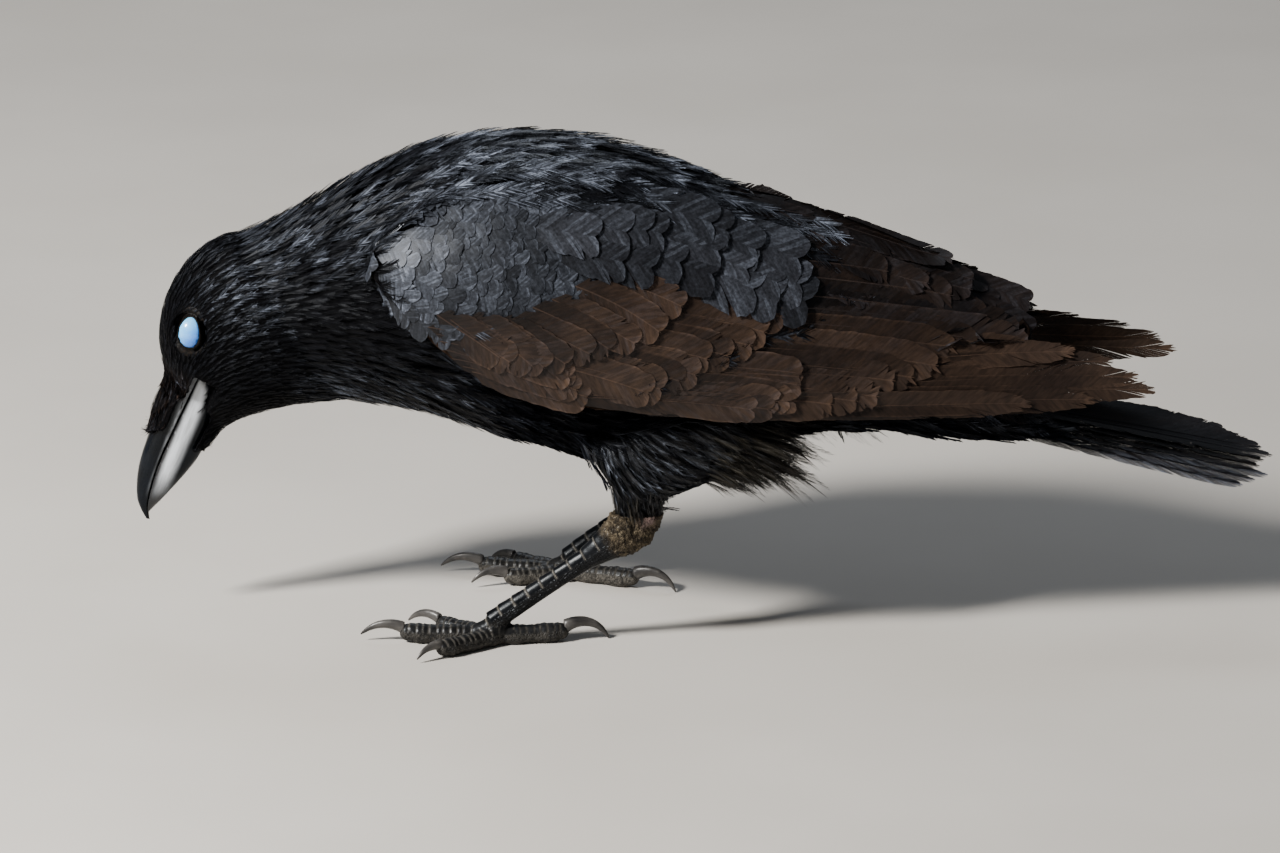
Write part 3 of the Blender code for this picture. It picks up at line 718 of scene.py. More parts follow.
def vane_collection():
    """All the vane shapes, each in a few variants, in the order that a feather's kind counts them."""
    found = bpy.data.collections.get("vane_shapes")
    if found:
        return found
    made = bpy.data.collections.new("vane_shapes")
    rng = np.random.default_rng(VANE_DRAWS)
    for (n, word), k in product(enumerate(VANE_ORDER), range(VARIANTS)):
        shape = vane_mesh(f"{word}_{k}", VANES[word], rng)
        made.objects.link(bpy.data.objects.new(f"{n}{k}_{word}", shape))
    bpy.context.scene.collection.children.link(made)
    return made


VANE_CHART = 0.003  # how much of the unwrap one feather takes
LENGTHS, PLAIN = ("half_width", "length"), ("hug", "roll", "tint", "wear", "bloom")
SPENT = ("side", "up", "chart", "kind", "feather", "hug", "roll", "rise")  # of no use once it is laid


def lay(name, batches, finish):
    """Make one coat piece from batches of feathers that have the same number of guide points."""
    whole = {key: np.concatenate([b[key] for b in batches]) for key in batches[0]}
    count, steps = whole["spine"].shape[:2]
    roots = new_mesh(name + "_roots", whole["spine"][:, 0], [])
    for key in LENGTHS + PLAIN:
        attribute(roots, key, whole[key] * (MM if key in LENGTHS else 1.0))
    attribute(roots, "kind", whole["kind"], "INT")
    attribute(roots, "chart", np.c_[whole["chart"], np.zeros(count)], "FLOAT_VECTOR")
    guides = new_mesh(name + "_guides", whole["spine"].reshape(-1, 3), [])
    for key in ("side", "up"):
        attribute(guides, key, whole[key].reshape(-1, 3), "FLOAT_VECTOR")
    guide_object = new_object(name + "_guides", guides)
    obj = new_object(name, roots)
    modifier = obj.modifiers.new("lay_vanes", "NODES")
    modifier.node_group = bpy.data.node_groups.get("lay_vanes") or lay_vanes_tree()
    given = {
        "Guides": guide_object, "Vanes": vane_collection(), "Guide points": int(steps), "Patch": VANE_CHART,
        "Finish": finish,
    }
    for item in modifier.node_group.interface.items_tree:
        if item.name in given:
            modifier[item.identifier] = given[item.name]
    applied(obj)
    bpy.data.objects.remove(guide_object)
    for key in SPENT:
        layer = obj.data.attributes.get(key)
        if layer:
            obj.data.attributes.remove(layer)
    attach(obj, "root")
    return obj


# ---- guides ----

STEPS = 6  # guide points of a body feather
LONG_STEPS = 12  # guide points of a large wing or tail feather
COAT_END = 118.0  # past this the coat's feathers run on straight, over the tail
HOLD = 0.5  # how much of its own way a feather keeps, against the lie of the coat
LOST = 0.7  # a guide that lands further off than this share of a step has left the surface
ROLL = 0.10  # how much feathers are rolled about their shafts


def straight(roots, normals, headings, length, low, high, droop=0.0):
    """Guides that run straight on from their roots, rising from the low to the high lift."""
    ahead = flatten(headings, normals)
    share = np.linspace(0, 1, STEPS)[None, :, None]
    lift = low + (high - low)[:, None, None] * share
    spine = roots[:, None] + ahead[:, None] * share * length[:, None, None] + normals[:, None] * lift
    spine[..., 2] -= droop * share[..., 0] ** 2 * length[:, None]
    side, up = (np.repeat(ways[:, None], STEPS, 1) for ways in (np.cross(normals, ahead), normals))
    return {"spine": spine, "side": side, "up": up}


def march(surface, roots, normals, headings, length, low, high, flow, end=COAT_END):
    """Guides that creep over a surface from their roots, rising from the low to the high lift."""
    here, up, ahead = roots, normals, flatten(headings, normals)
    spine, sides, ups = [], [], []
    step = length / (STEPS - 1)
    for k in range(STEPS):
        lift = low + (high - low) * (k / (STEPS - 1)) ** 0.8
        spine.append(here + up * lift[..., None])
        sides.append(np.cross(up, ahead))
        ups.append(up)
        if k == STEPS - 1:
            break
        goal = here + ahead * step[:, None]
        feet, found, _, gaps = surface.nearest(goal)
        off = (gaps > LOST * length / (STEPS - 1)) | (goal[:, 0] > end)
        here = np.where(off[:, None], goal, feet)
        up = np.where(off[:, None], up, unit(found + up * 0.6))
        if flow is not None:
            ahead = ahead * HOLD + flatten(flow(here), up) * (1 - HOLD)
        ahead = flatten(ahead, up)
    return {"spine": np.stack(spine, 1), "side": np.stack(sides, 1), "up": np.stack(ups, 1)}


def dressed(guides, length, width, word, rng, radius, tint=None, wear=0.0, bloom=0.0, chart=body_chart):
    """Guides with what the vanes need to know: the radius is that of the body they hug."""
    count = len(guides["spine"])
    full = np.ones(count)
    return guides | {
        "half_width": full * width,
        "length": full * length,
        "hug": np.clip(full * width / (2 * radius), 0, 0.35),
        "roll": rng.normal(0, ROLL, count),
        "kind": VANE_ORDER.index(word) * VARIANTS + rng.integers(0, VARIANTS, count),
        "tint": rng.random(count) if tint is None else full * tint,
        "wear": full * wear,
        "bloom": full * bloom,
        "chart": chart(guides["spine"][:, 0]),
    }


# ---- finishes ----


class Finish(Nodes):
    """A new material; its Principled shader is given plain numbers and then wired."""

    def __init__(self, name, specular=0.5, coat=0.0, coat_rough=0.1, tint=(1, 1, 1)):
        self.material = bpy.data.materials.new(name)
        self.material.use_nodes = True
        super().__init__(self.material.node_tree)
        shine = {"Specular IOR Level": specular, "Specular Tint": tint}
        self.shade(shine | {"Coat Weight": coat, "Coat Roughness": coat_rough})

    def shade(self, values):
        """Give values to the shader's sockets."""
        for name, value in values.items():
            self.give(self.tree.nodes["Principled BSDF"].inputs[name], value)

    def finished(self, colour, rough, height=None, distance=0.0, strength=1.0):
        """The material, with its colour, its roughness and the relief of a height."""
        self.shade({"Base Color": colour, "Roughness": rough})
        if height:
            relief = {"Strength": strength, "Distance": distance, "Height": height}
            self.shade({"Normal": self.add("ShaderNodeBump", relief)})
        return self.material


def feather_group():
    """Colour, roughness and height of a feather: barbs, shaft, worn edges, a painted sheen on its strands and
    painted shade at its root.
    """
    inputs = {
        "Black": ("Color",), "Worn": ("Color",), "Bloom": ("Color",), "Barb spacing": ("Float", 0.0009),
        "Edge": ("Float", 0.3), "Smooth": ("Float", 0.36), "Shaft": ("Float", 0.0), "Even": ("Float", 0.12),
    }
    outputs = {"Color": ("Color",), "Roughness": ("Float",), "Height": ("Float",)}
    group = Group("feather_look", "ShaderNodeTree", inputs, outputs)
    given, read = group.given, group.read
    along, across, half_width, tint = read("along"), read("across"), read("half_width"), read("tint")
    away = group.math("ABSOLUTE", across)
    run = along * read("length") - away * half_width
    wobble = group.noise(260.0) * 2.5
    barbs = group.math("SINE", run / given["Barb spacing"] * math.tau + wobble)
    fine = group.noise(900.0, 3.0, 0.6)

    worn = read("wear") * group.noise(55.0, 3.0).mapped(0.25, 0.7, 0.55, 1.0)
    colour = group.mix(worn, given["Black"], given["Worn"])
    # Painted sheen: a silvery grey-blue is mixed into the colour on some strands, for the glints of light on
    # glossy feathers; Even is the share of it that every strand gets.
    painted_silver = read("bloom") * read("strand").mapped(0.25, 0.9, given["Even"], 1.0)
    colour = group.mix(painted_silver * fine.mapped(0.3, 0.75, 0.35, 1.0), colour, given["Bloom"])

    rim = group.math("MAXIMUM", away.mapped(0.84, 0.98), along.mapped(0.94, 1.0)) * given["Edge"]
    light = tint.mapped(0.0, 1.0, 0.6, 1.35) + rim + barbs * 0.05
    # Painted shade: each feather is darker towards its root, where the feathers lying over it would shade it,
    # and lighter at its tip.
    light = light * along.mapped(0.05, 0.95, 0.40, 1.2)
    stretched = group.add("ShaderNodeCombineXYZ", {0: run, 1: tint * 0.05, 2: across * half_width * 0.4})
    light = light * group.noise(700.0, 3.0, 0.6, stretched).mapped(0.3, 0.72, 0.65, 1.32)
    light = light + away.mapped(0.015, 0.05, 1, 0) * given["Shaft"]
    grey = group.add("ShaderNodeCombineColor", dict.fromkeys(range(3), light))
    return group.finished(
        Color=group.mix(1.0, colour, grey, "MULTIPLY"),
        Roughness=given["Smooth"] + worn * 0.16 + (fine - 0.5) * 0.25,
        Height=barbs * 0.15 + fine,
    )


def feather_finish(name, spacing, edge, smooth, specular=0.35, shaft=0.0, even=0.12, worn=None):
    """A feather material with its own barb spacing in millimetres."""
    finish = Finish(name, specular, tint=(0.86, 0.91, 1.0))
    settings = bpy.context.scene.crow_coat
    inputs = {"Black": settings.black, "Worn": worn or settings.brown, "Bloom": settings.painted_silver}
    inputs |= {"Barb spacing": spacing * MM, "Edge": edge, "Smooth": smooth, "Shaft": shaft, "Even": even}
    group = bpy.data.node_groups.get("feather_look") or feather_group()
    look = finish.add("ShaderNodeGroup", inputs, node_tree=group)
    return finish.finished(look, look.also("Roughness"), look.also("Height"), 0.0001, 0.5)


def skin_finish():
    """Dark skin and down under the feathers, brown under the worn part of the wings."""
    finish = Finish("skin_down", 0.03)
    settings = bpy.context.scene.crow_coat
    mottle = finish.noise(420.0, 3.0, 0.6)
    dark = finish.mix(mottle.mapped(0.3, 0.7), (0.0008, 0.0008, 0.001), settings.black)
    colour = finish.mix(finish.read("wear"), dark, settings.brown)
    return finish.finished(colour, mottle.mapped(0.2, 0.8, 0.6, 0.8), mottle, 0.0005)


def horn_finish():
    """Polished black horn with fine growth lines along it, and a painted pale reflection along the mouth's
    edge.
    """
    finish = Finish("bill_horn", 0.1, coat_rough=0.07, tint=(0.8, 0.9, 1.0))
    finish.shade({"Coat Weight": finish.read("shine")})
    drawn_out = {"Rotation": (0.0, -BILL_PITCH, 0.0), "Scale": (1 / 50.0, 1 / 650.0, 1 / 650.0)}
    lines = finish.add("ShaderNodeMapping", {"Vector": finish.place} | drawn_out, vector_type="TEXTURE")
    grain = finish.noise(1.0, 3.0, 0.55, lines)
    blotch = finish.noise(90.0, 3.0).mapped(0.3, 0.75)
    colour = finish.mix(blotch, (0.0012, 0.0016, 0.0026), (0.003, 0.0043, 0.007))
    colour = finish.mix(grain.mapped(0.45, 0.8, 0.0, 0.12), colour, (0.018, 0.024, 0.034))
    # Painted reflection: a near-white band where light is reflected along the lower mandible's side and the
    # upper mandible's edge.
    pale = finish.read("band") * grain.mapped(0.25, 0.7, 0.6, 1.0)
    colour = finish.mix(pale, colour, (0.78, 0.83, 0.90))
    return finish.finished(colour, grain.mapped(0.2, 0.8, 0.24, 0.34), grain, 0.00012, 0.5)


def claw_finish():
    """Grey-black claw horn, paler and scratched along its length."""
    finish = Finish("claw_horn", 0.35, coat=0.2, coat_rough=0.25)
    grain = finish.noise(500.0, 4.0, 0.6)
    blotch = finish.noise(120.0, 2.0).mapped(0.3, 0.7)
    colour = finish.mix(blotch, (0.016, 0.015, 0.015), (0.066, 0.062, 0.059))
    colour = finish.mix(grain.mapped(0.5, 0.75, 0.0, 0.35), colour, (0.16, 0.148, 0.135))
    return finish.finished(colour, grain.mapped(0.2, 0.8, 0.3, 0.5), grain, 0.0002, 0.5)


def scale_finish():
    """Black scaly skin with dusty grooves, and rough flaking skin over the heel joint."""
    finish = Finish("leg_scales", 0.1, coat=0.06, coat_rough=0.2, tint=(0.85, 0.92, 1.0))
    dust, heel = finish.read("dust"), finish.read("heel")
    grit = finish.noise(700.0, 4.0, 0.65)
    blotch = finish.noise(150.0, 3.0).mapped(0.3, 0.7)
    colour = finish.mix(blotch, (0.002, 0.0023, 0.003), (0.006, 0.0066, 0.008))
    colour = finish.mix(dust * grit.mapped(0.35, 0.6, 0.3, 1.0), colour, (0.10, 0.092, 0.080))
    seam = finish.read("groove") * grit.mapped(0.3, 0.6, 0.35, 0.9)
    colour = finish.mix(seam, colour, (0.16, 0.148, 0.128))
    patches = finish.noise(330.0, 5.0, 0.7).mapped(0.35, 0.68)
    flake = finish.mix(patches, (0.012, 0.009, 0.006), (0.085, 0.066, 0.042))
    flake = finish.mix(grit.mapped(0.5, 0.7, 0.0, 0.5), flake, (0.24, 0.195, 0.13))
    colour = finish.mix(finish.read("bare"), finish.mix(heel, colour, flake), (0.42, 0.30, 0.28))
    rough = finish.math("MAXIMUM", dust.mapped(0.0, 1.0, 0.34, 0.8), heel * 0.75)
    pores = {"Vector": finish.place, "Scale": 900.0}
    cells = finish.add("ShaderNodeTexVoronoi", pores, "Distance", feature="DISTANCE_TO_EDGE")
    pebble = cells.mapped(0.02, 0.22) * finish.math("SUBTRACT", 1.0, finish.read("plate"))
    return finish.finished(colour, rough, pebble + grit * 0.4, 0.0003)


def eye_finish():
    """The wet, pale blue inner lid drawn over the eye, with painted shading from pale to deep blue across it.
    """
    finish = Finish("eye_inner_lid", 0.3, coat=0.6, coat_rough=0.04)
    veins = finish.noise(500.0, 3.0)
    # Painted shading: paler blue at the upper front, deeper blue at the lower back, as light falls from above
    # and in front.
    colour = finish.mix(finish.read("shade"), (0.15, 0.52, 0.98), (0.025, 0.19, 0.80))
    colour = finish.mix(veins.mapped(0.35, 0.75, 0.0, 0.12), colour, (0.34, 0.66, 0.98))
    deep = {"Weight": 0.25, "Radius": (0.002, 0.002, 0.003), "Scale": 0.5}
    finish.shade({"Subsurface " + key: value for key, value in deep.items()})
    return finish.finished(colour, veins.mapped(0.2, 0.8, 0.22, 0.32))


def lid_finish():
    """Dark brown beaded skin round the eye."""
    finish = Finish("eyelid_skin", 0.12)
    grit = finish.noise(900.0, 3.0)
    colour = finish.mix(grit.mapped(0.45, 0.7), (0.0015, 0.0012, 0.0012), (0.009, 0.006, 0.0045))
    return finish.finished(colour, grit.mapped(0.2, 0.8, 0.45, 0.7), grit, 0.0002)


# ---- skin ----

# The nodes are swollen to close the gaps between them, and shrunk again by as much and the coat's depth.
Flesh = namedtuple("Flesh", "swell depth")
SKIN_DEPTHS = {
    "head": Flesh(0.5, 0.9), "chin": Flesh(0.5, 0.5), "nasal_bristles": Flesh(0.5, 0.7),
    "neck": Flesh(1.0, 1.8), "trunk": Flesh(1.0, 2.2), "thigh": Flesh(1.0, 1.6), "wing": Flesh(1.0, 0.3),
}
LID_OPENING = np.array((3.9, 5.7))  # half the width and the height of the eye between its lids
EYE_MARGIN = 1.2  # feathers keep out of the opening made this much larger

SKIN_VOXEL, SKIN_ROUNDS = 1.35, 5  # the grain of the skin's mesh, and how often it is evened

_made = {}  # the finished skin's surface, for the coat that is laid on it


def flesh_of(node):
    """How a flesh node is swollen and shrunk."""
    return SKIN_DEPTHS.get(node) or SKIN_DEPTHS[node.split("_")[0]]


def swollen(name, by):
    """A node's mesh moved out along its normals."""
    points, faces = node_mesh(name)
    mesh = new_mesh("swell", points, faces)
    normals = normals_of(mesh)
    bpy.data.meshes.remove(mesh)
    return points + normals * by, faces


def ball_mesh(centre, radius):
    """A small ball that fills a joint."""
    bm = bmesh.new()
    bmesh.ops.create_icosphere(bm, subdivisions=3, radius=radius, matrix=Matrix.Translation(Vector(centre)))
    return taken_from(bm)


def merged_shell(name, nodes, swell, voxel, rounds, balls=()):
    """One closed mesh round several nodes and balls; swell gives each node's swelling, and rounds
    how often the mesh is evened."""
    parts = [swollen(node, swell(node)) for node in nodes] + [ball_mesh(*ball) for ball in balls]
    obj = new_object(name, new_mesh(name, *joined(parts)))
    remesh = obj.modifiers.new("one_skin", "REMESH")
    remesh.mode = "VOXEL"
    remesh.voxel_size = voxel * MM
    remesh.use_smooth_shade = True
    mesh = applied(obj).data
    with edited(mesh) as bm:
        drop_islands(bm)
    set_co(mesh, relax(mesh, co_of(mesh), rounds))
    mesh.shade_smooth()
    return obj


def drop_islands(bm):
    """Keep only the largest connected piece."""
    bm.verts.ensure_lookup_table()
    seen, best = set(), []
    for start in bm.verts:
        if start in seen:
            continue
        seen.add(start)
        piece, edge = [start], [start]
        while edge:
            v = edge.pop()
            for e in v.link_edges:
                other = e.other_vert(v)
                if other not in seen:
                    seen.add(other)
                    piece.append(other)
                    edge.append(other)
        if len(piece) > len(best):
            best = piece
    keep = set(best)
    bmesh.ops.delete(bm, geom=[v for v in bm.verts if v not in keep], context="VERTS")


@cache
def cad_surface():
    """All the flesh nodes as one surface that knows which node each face is from."""
    parts = [node_mesh(node) for node in FLESH]
    tags = np.repeat(np.arange(len(FLESH)), [len(faces) for _, faces in parts])
    return Surface(*joined(parts), tags)


def wing_cover_lower(x):
    """Height of the lower edge of the small coverts, along the wing."""
    knots = ((-121, 140), (-112, 131), (-102, 127), (-72, 129), (-58, 137), (-40, 143), (-28, 146), (0, 150))
    return curve(knots, x)


def worn_share(points):
    """How brown the wing is at each point: worn below the small coverts, black elsewhere."""
    x, z = points[:, 0], points[:, 2]
    below = ease(-2.0, 4.0, wing_cover_lower(x) - z)
    behind = ease(60.0, 125.0, x) * ease(96.0, 108.0, z)
    return below * (1.0 - 0.7 * behind)


def make_skin():
    """One skin under the whole coat, from the bill to the tail coverts and over both wings."""
    obj = merged_shell("skin", FLESH, lambda node: flesh_of(node).swell, SKIN_VOXEL, SKIN_ROUNDS)
    mesh = obj.data
    points, normals = co_of(mesh), normals_of(mesh)
    tags = cad_surface().tags[cad_surface().nearest(points)[2]]
    depth = relax(mesh, np.array([flesh_of(node).depth for node in FLESH])[tags], 8)
    depth *= ease(8.0, 13.0, eye_gap(points))
    depth += relax(mesh, np.array([flesh_of(node).swell for node in FLESH])[tags], 4)
    points = open_gape(open_sockets(points - normals * depth[:, None]))
    set_co(mesh, points)
    normals = normals_of(mesh)
    is_wing = np.array([n.startswith("wing") for n in FLESH])[tags]
    attribute(mesh, "wear", 0.6 * worn_share(points) * is_wing * (1 - ease(0.3, 0.6, normals[:, 2])))
    mesh.materials.append(skin_finish())
    faces = [list(p.vertices) for p in mesh.polygons]
    face_tags = tags[[f[0] for f in faces]]
    _made["skin"] = Surface(points, faces, face_tags, unit(relax(mesh, normals, 16)))
    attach(obj, "root")
    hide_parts(*FLESH)


def open_sockets(points):
    """Sink the skin between the eyelids to a little below the eyeballs."""
    for side in (LEFT, RIGHT):
        across, up, out = eye_offset(points, side)
        within = (across / (LID_OPENING[0] * 1.1)) ** 2 + (up / (LID_OPENING[1] * 1.1)) ** 2 < 1
        floor = np.sqrt(np.maximum(EYE_RADIUS**2 - across**2 - up**2, 0)) - 1.3
        sink = np.where(within & (out > floor), out - floor, 0.0)
        points = points - sink[:, None] * mirrored(EYE_AXIS, side)
    return points


def bill_offset(points):
    """How far points are along the bill from the corner of the mouth, and above its axis."""
    return (points - GAPE) @ BILL_AHEAD, (points - GAPE) @ BILL_ABOVE


def gape_share(points):
    """1 on the sides of the bill's base, where the horn is bare, 0 away from it."""
    ahead, above = bill_offset(points)
    back = -3.6 + 0.12 * np.clip(-above, 0.0, 8.0)
    return ease(back, back + 1.4, ahead) * ease(-7.4, -6.2, above) * (1 - ease(1.8, 2.6, above))


def open_gape(points):
    """Sink the skin at the corners of the mouth into the horn."""
    limit = curve(((-4, 6.4), (0, 6.2), (8, 5.4), (20, 4.2), (30, 3.2)), bill_offset(points)[0])
    across = points[:, 1]
    sunk = np.sign(across) * np.minimum(np.abs(across), limit)
    share = gape_share(points)
    return np.stack([points[:, 0], across + (sunk - across) * share, points[:, 2]], 1)


def faces_of(*nodes):
    """Which skin faces belong to these nodes."""
    return np.isin(_made["skin"].tags, [FLESH.index(n) for n in nodes])


# ---- body plumage ----


def mantle_edge(x):
    """Height of the lower edge of the mantle's feathers on the wing."""
    knots = (
        (-121, 147), (-114, 154), (-108, 161), (-90, 166.5), (-74, 167), (-62, 163), (-50, 163), (-24, 164),
        (2, 158), (19, 149.5), (30, 146), (60, 136),
    )
    return curve(knots, x)


def clear_of_eyes(batch):
    """Which feathers don't hang over an eye."""
    points = batch["spine"].reshape(-1, 3)
    fine = np.ones(len(points), bool)
    for side in (LEFT, RIGHT):
        across, up, out = eye_offset(points, side)
        inside = (across / LID_OPENING[0]) ** 2 + (up / LID_OPENING[1]) ** 2 < EYE_MARGIN**2
        fine &= ~(inside & (out > 0))
    return fine.reshape(batch["spine"].shape[:2]).all(1)


class Patch:
    """Roots of feathers scattered over some faces of the skin, and the random numbers for them."""

    def __init__(self, rng, allowed, spacing):
        self.rng = rng
        self.roots, self.normals = _made["skin"].scatter(allowed, spacing, rng)
        self.count = len(self.roots)
        self.x, self.z = self.roots[:, 0], self.roots[:, 2]
        self.s, self.up = body_place(self.roots)

    def about_one(self, spread):
        """Numbers near 1."""
        return self.rng.normal(1.0, spread, self.count)

    def off(self, spread):
        """Numbers near 0."""
        return self.rng.normal(0, spread, self.count)

    def within(self, low, high):
        """Numbers between two ends."""
        return self.rng.uniform(low, high, self.count)

    def chance(self, power=1):
        """Numbers from 0 to 1, the more of them small the higher the power."""
        return self.rng.random(self.count) ** power

    def jitter(self, headings, degrees):
        """Headings turned a little at random."""
        return turn(flatten(headings, self.normals), self.normals, np.radians(self.off(degrees)))

    def march(self, headings, length, low, high, flow, **how):
        """Guides that creep over the skin from these roots."""
        return march(_made["skin"], self.roots, self.normals, headings, length, low, high, flow, **how)

    def dressed(self, guides, length, width, word, radius, **looks):
        """These guides with what the vanes need to know."""
        return dressed(guides, length, width, word, self.rng, radius, **looks)


def head_batch(rng):
    """Short fine tufts of the head, from the bill over the crown to the nape and the throat."""

    def face_share(points):
        """Half round the eye, 1 away from it."""
        return 0.5 + 0.5 * ease(7.5, 14.0, eye_gap(points))

    def spacing(points):
        s, _ = body_place(points)
        return (1.2 + 0.16 * s + 0.3 * ease(3.0, 6.0, s)) * (0.35 + 0.65 * face_share(points))

    on_head = faces_of("head", "chin") & (body_place(_made["skin"].middles)[0] < 5.6)
    patch = Patch(rng, on_head, spacing)
    s, up = patch.s, patch.up
    length = (4.6 + 0.8 * s + 1.0 * ease(3.0, 6.0, s)) * face_share(patch.roots) * patch.about_one(0.1)
    headings = patch.jitter(body_flow(patch.roots), 6)
    high = (0.40 + 0.09 * s) * patch.within(0.8, 1.1)
    guides = patch.march(headings, length, 0.1, high, body_flow)
    # Painted sheen: a patch of it on the crown and streaks down the throat, where light glints on the head.
    crown = np.exp(-(((s - 4.3) / 1.1) ** 2) - ((up - 0.72) / 0.19) ** 2)
    throat = (1 - ease(0.08, 0.30, up)) * ease(3.2, 4.2, s)
    bloom = 0.005 + (1.5 * crown + 1.2 * throat + 0.08) * patch.chance(2)
    tint = 0.25 + 0.5 * patch.chance()
    batch = patch.dressed(guides, length, length * 0.17, "hackle", 20.0, tint=tint, bloom=bloom)
    ahead, above = bill_offset(patch.roots)
    brow = (ahead > -1.5) & (above > 3.5)
    wanted = clear_of_eyes(batch) & (gape_share(patch.roots) < 0.3) & ~brow
    return {key: values[wanted] for key, values in batch.items()}


def gape_batch(rng):
    """Small tufts that lie forwards over the edges of the horn, from the gape to the chin."""
    skin = _made["skin"]
    ahead, above = bill_offset(skin.middles)
    behind = (ahead > -7.0) & (ahead < -2.6) & (above > -8.0) & (above < 3.0)
    under = (ahead >= -3.0) & (ahead < 23.0) & (above < -5.6)
    allowed = faces_of("head", "chin") & (behind | under) & (skin.face_normals @ BILL_AHEAD < 0.15)
    patch = Patch(rng, allowed, 0.8)
    ahead, above = bill_offset(patch.roots)
    at_gape = ahead < -2.4
    length = np.where(at_gape, 2.8, 4.4) * patch.about_one(0.2)
    length = np.minimum(length, np.maximum(26.0 - ahead, 1.2))
    lean = np.where(at_gape, 0.0, 0.35 * ease(-12.0, -6.0, above))
    headings = patch.jitter(BILL_AHEAD + BILL_ABOVE * lean[:, None], 9)
    guides = straight(patch.roots, patch.normals, headings, length, 0.1, patch.within(0.2, 0.7))
    # Painted highlights on some tufts, most of them at the gape.
    bloom = 0.03 + np.where(at_gape, 0.6, 0.12) * patch.chance(3)
    return patch.dressed(guides, length, length * 0.13, "hackle", 10.0, bloom=bloom, wear=0.08)


def neck_batch(rng):
    """Longer hackles of the neck and throat."""
    allowed = faces_of("neck") | (faces_of("trunk") & (body_place(_made["skin"].middles)[0] < 9.2))
    patch = Patch(rng, allowed, lambda points: 1.9 + 0.26 * (body_place(points)[0] - 5.0))
    length = (11.0 + 1.9 * (patch.s - 5.0)) * patch.about_one(0.1)
    headings = patch.jitter(body_flow(patch.roots), 8)
    throat, nape = 1 - ease(0.12, 0.42, patch.up), ease(0.62, 0.85, patch.up)
    loose = 1 + 0.8 * np.maximum(throat, nape)
    high = (1.1 + 0.18 * (patch.s - 5.0)) * patch.within(0.8, 1.1) * loose
    guides = patch.march(headings, length, 0.2, high, body_flow)
    # Painted sheen: silvery streaks on the throat and the nape, and a little elsewhere.
    bloom = 0.005 + (0.03 + 1.3 * throat + 1.1 * nape) * patch.chance(2.5)
    tint = 0.2 + 0.6 * patch.chance()
    return patch.dressed(guides, length, length * 0.12, "lance", 32.0, tint=tint, bloom=bloom)


def trunk_batch(rng, low, high_up, word, gap, size, painted_sheen_most):
    """Feathers of a band of the trunk, between two heights up the body."""
    middles = _made["skin"].middles
    s, up = body_place(middles)
    over = middles[:, 2] > mantle_edge(middles[:, 0]) - 1.0
    on_wing = faces_of("wing_left", "wing_right") & over & (middles[:, 0] < 34)
    allowed = (faces_of("trunk") & (s >= 8.6)) | on_wing
    allowed &= (up >= low) & (up < high_up) & (s < 18.9)
    patch = Patch(rng, allowed, lambda points: gap * (0.85 + 0.035 * (body_place(points)[0] - 9.0)))
    length = size * (0.82 + 0.03 * (patch.s - 9)) * patch.about_one(0.1)
    headings = patch.jitter(body_flow(patch.roots), 7)
    high = (2.4 + 0.02 * length) * patch.within(0.5, 1.15)
    guides = patch.march(headings, length, 0.3, high, body_flow)
    # Painted sheen on some feathers, up to the given share.
    return patch.dressed(guides, length, length * 0.17, word, 45.0, bloom=0.03 + painted_sheen_most * patch.chance(2))


def rump_batch(rng):
    """Broad feathers that close the back between the folded wings."""
    skin = _made["skin"]
    x, y, z = skin.middles.T
    allowed = faces_of("wing_left", "wing_right", "trunk") & (skin.face_normals[:, 2] > 0.35)
    allowed &= (x > 6) & (x < 88) & (z > 95.0) & (np.abs(y) < 24)
    patch = Patch(rng, allowed, 5.5)
    length = 36.0 * patch.about_one(0.06)
    headings = patch.jitter(body_flow(patch.roots), 4)
    guides = patch.march(headings, length, 0.4, 1.5 * patch.within(0.9, 1.1), body_flow, end=100.0)
    # A little painted sheen.
    return patch.dressed(guides, length, 6.5, "covert", 45.0, bloom=0.06, wear=0.25)


def thigh_batch(rng, side):
    """Loose shaggy feathers of one thigh, frayed at its back."""
    heel_x = LEGS[WORDS[side]].top[0]

    def flow(points):
        """Down, and trailing back behind."""
        behind = ease(-14.0, 14.0, points[:, 0] - heel_x)
        lower = 1 - ease(50.0, 60.0, points[:, 2])
        return in_plane(0.4 + 1.5 * behind * (1 - 0.75 * lower), -1.0)

    patch = Patch(rng, faces_of("thigh_" + WORDS[side]), 2.3)
    low = 1 - ease(52.0, 64.0, patch.z)
    behind = ease(12.0, 34.0, patch.x - heel_x)
    length = (17.0 - 7.0 * low + 8.0 * behind) * patch.about_one(0.16)
    headings = patch.jitter(flow(patch.roots), 10)
    high = (1.5 + 4.0 * behind * patch.chance()) * patch.within(0.5, 1.3)
    guides = patch.march(headings, length, 0.2, high, flow)
    # Painted sheen on some of the thigh's feathers.
    bloom = 0.05 + 1.1 * patch.chance(2)
    wear = 0.1 + 0.6 * behind * patch.chance()
    return patch.dressed(guides, length, length * 0.13, "shag", 14.0, bloom=bloom, wear=wear)


def cuff_batch(rng, side):
    """Tufts at the thigh's lower end that hang over the heel joint, longest in front."""
    skin, word = _made["skin"], WORDS[side]
    low = (skin.middles[:, 2] < 62.0) & (skin.face_normals[:, 2] > -0.6)
    patch = Patch(rng, faces_of("thigh_" + word) & low, 1.1)
    front = 1 - ease(-4.0, 5.0, patch.x - LEGS[word].top[0])
    length = (6.5 + 5.5 * front) * patch.about_one(0.22)
    ways = np.stack([0.15 + patch.off(0.12), patch.off(0.1), -np.ones(patch.count)], 1)
    ups = unit(patch.normals * np.array((1.0, 1.0, 0.2)))
    guides = straight(patch.roots, ups, ways, length, 0.2, patch.within(0.2, 0.8))
    # A little painted sheen.
    return patch.dressed(guides, length, length * 0.09, "shag", 8.0, bloom=0.1, wear=0.6 * patch.chance(2))


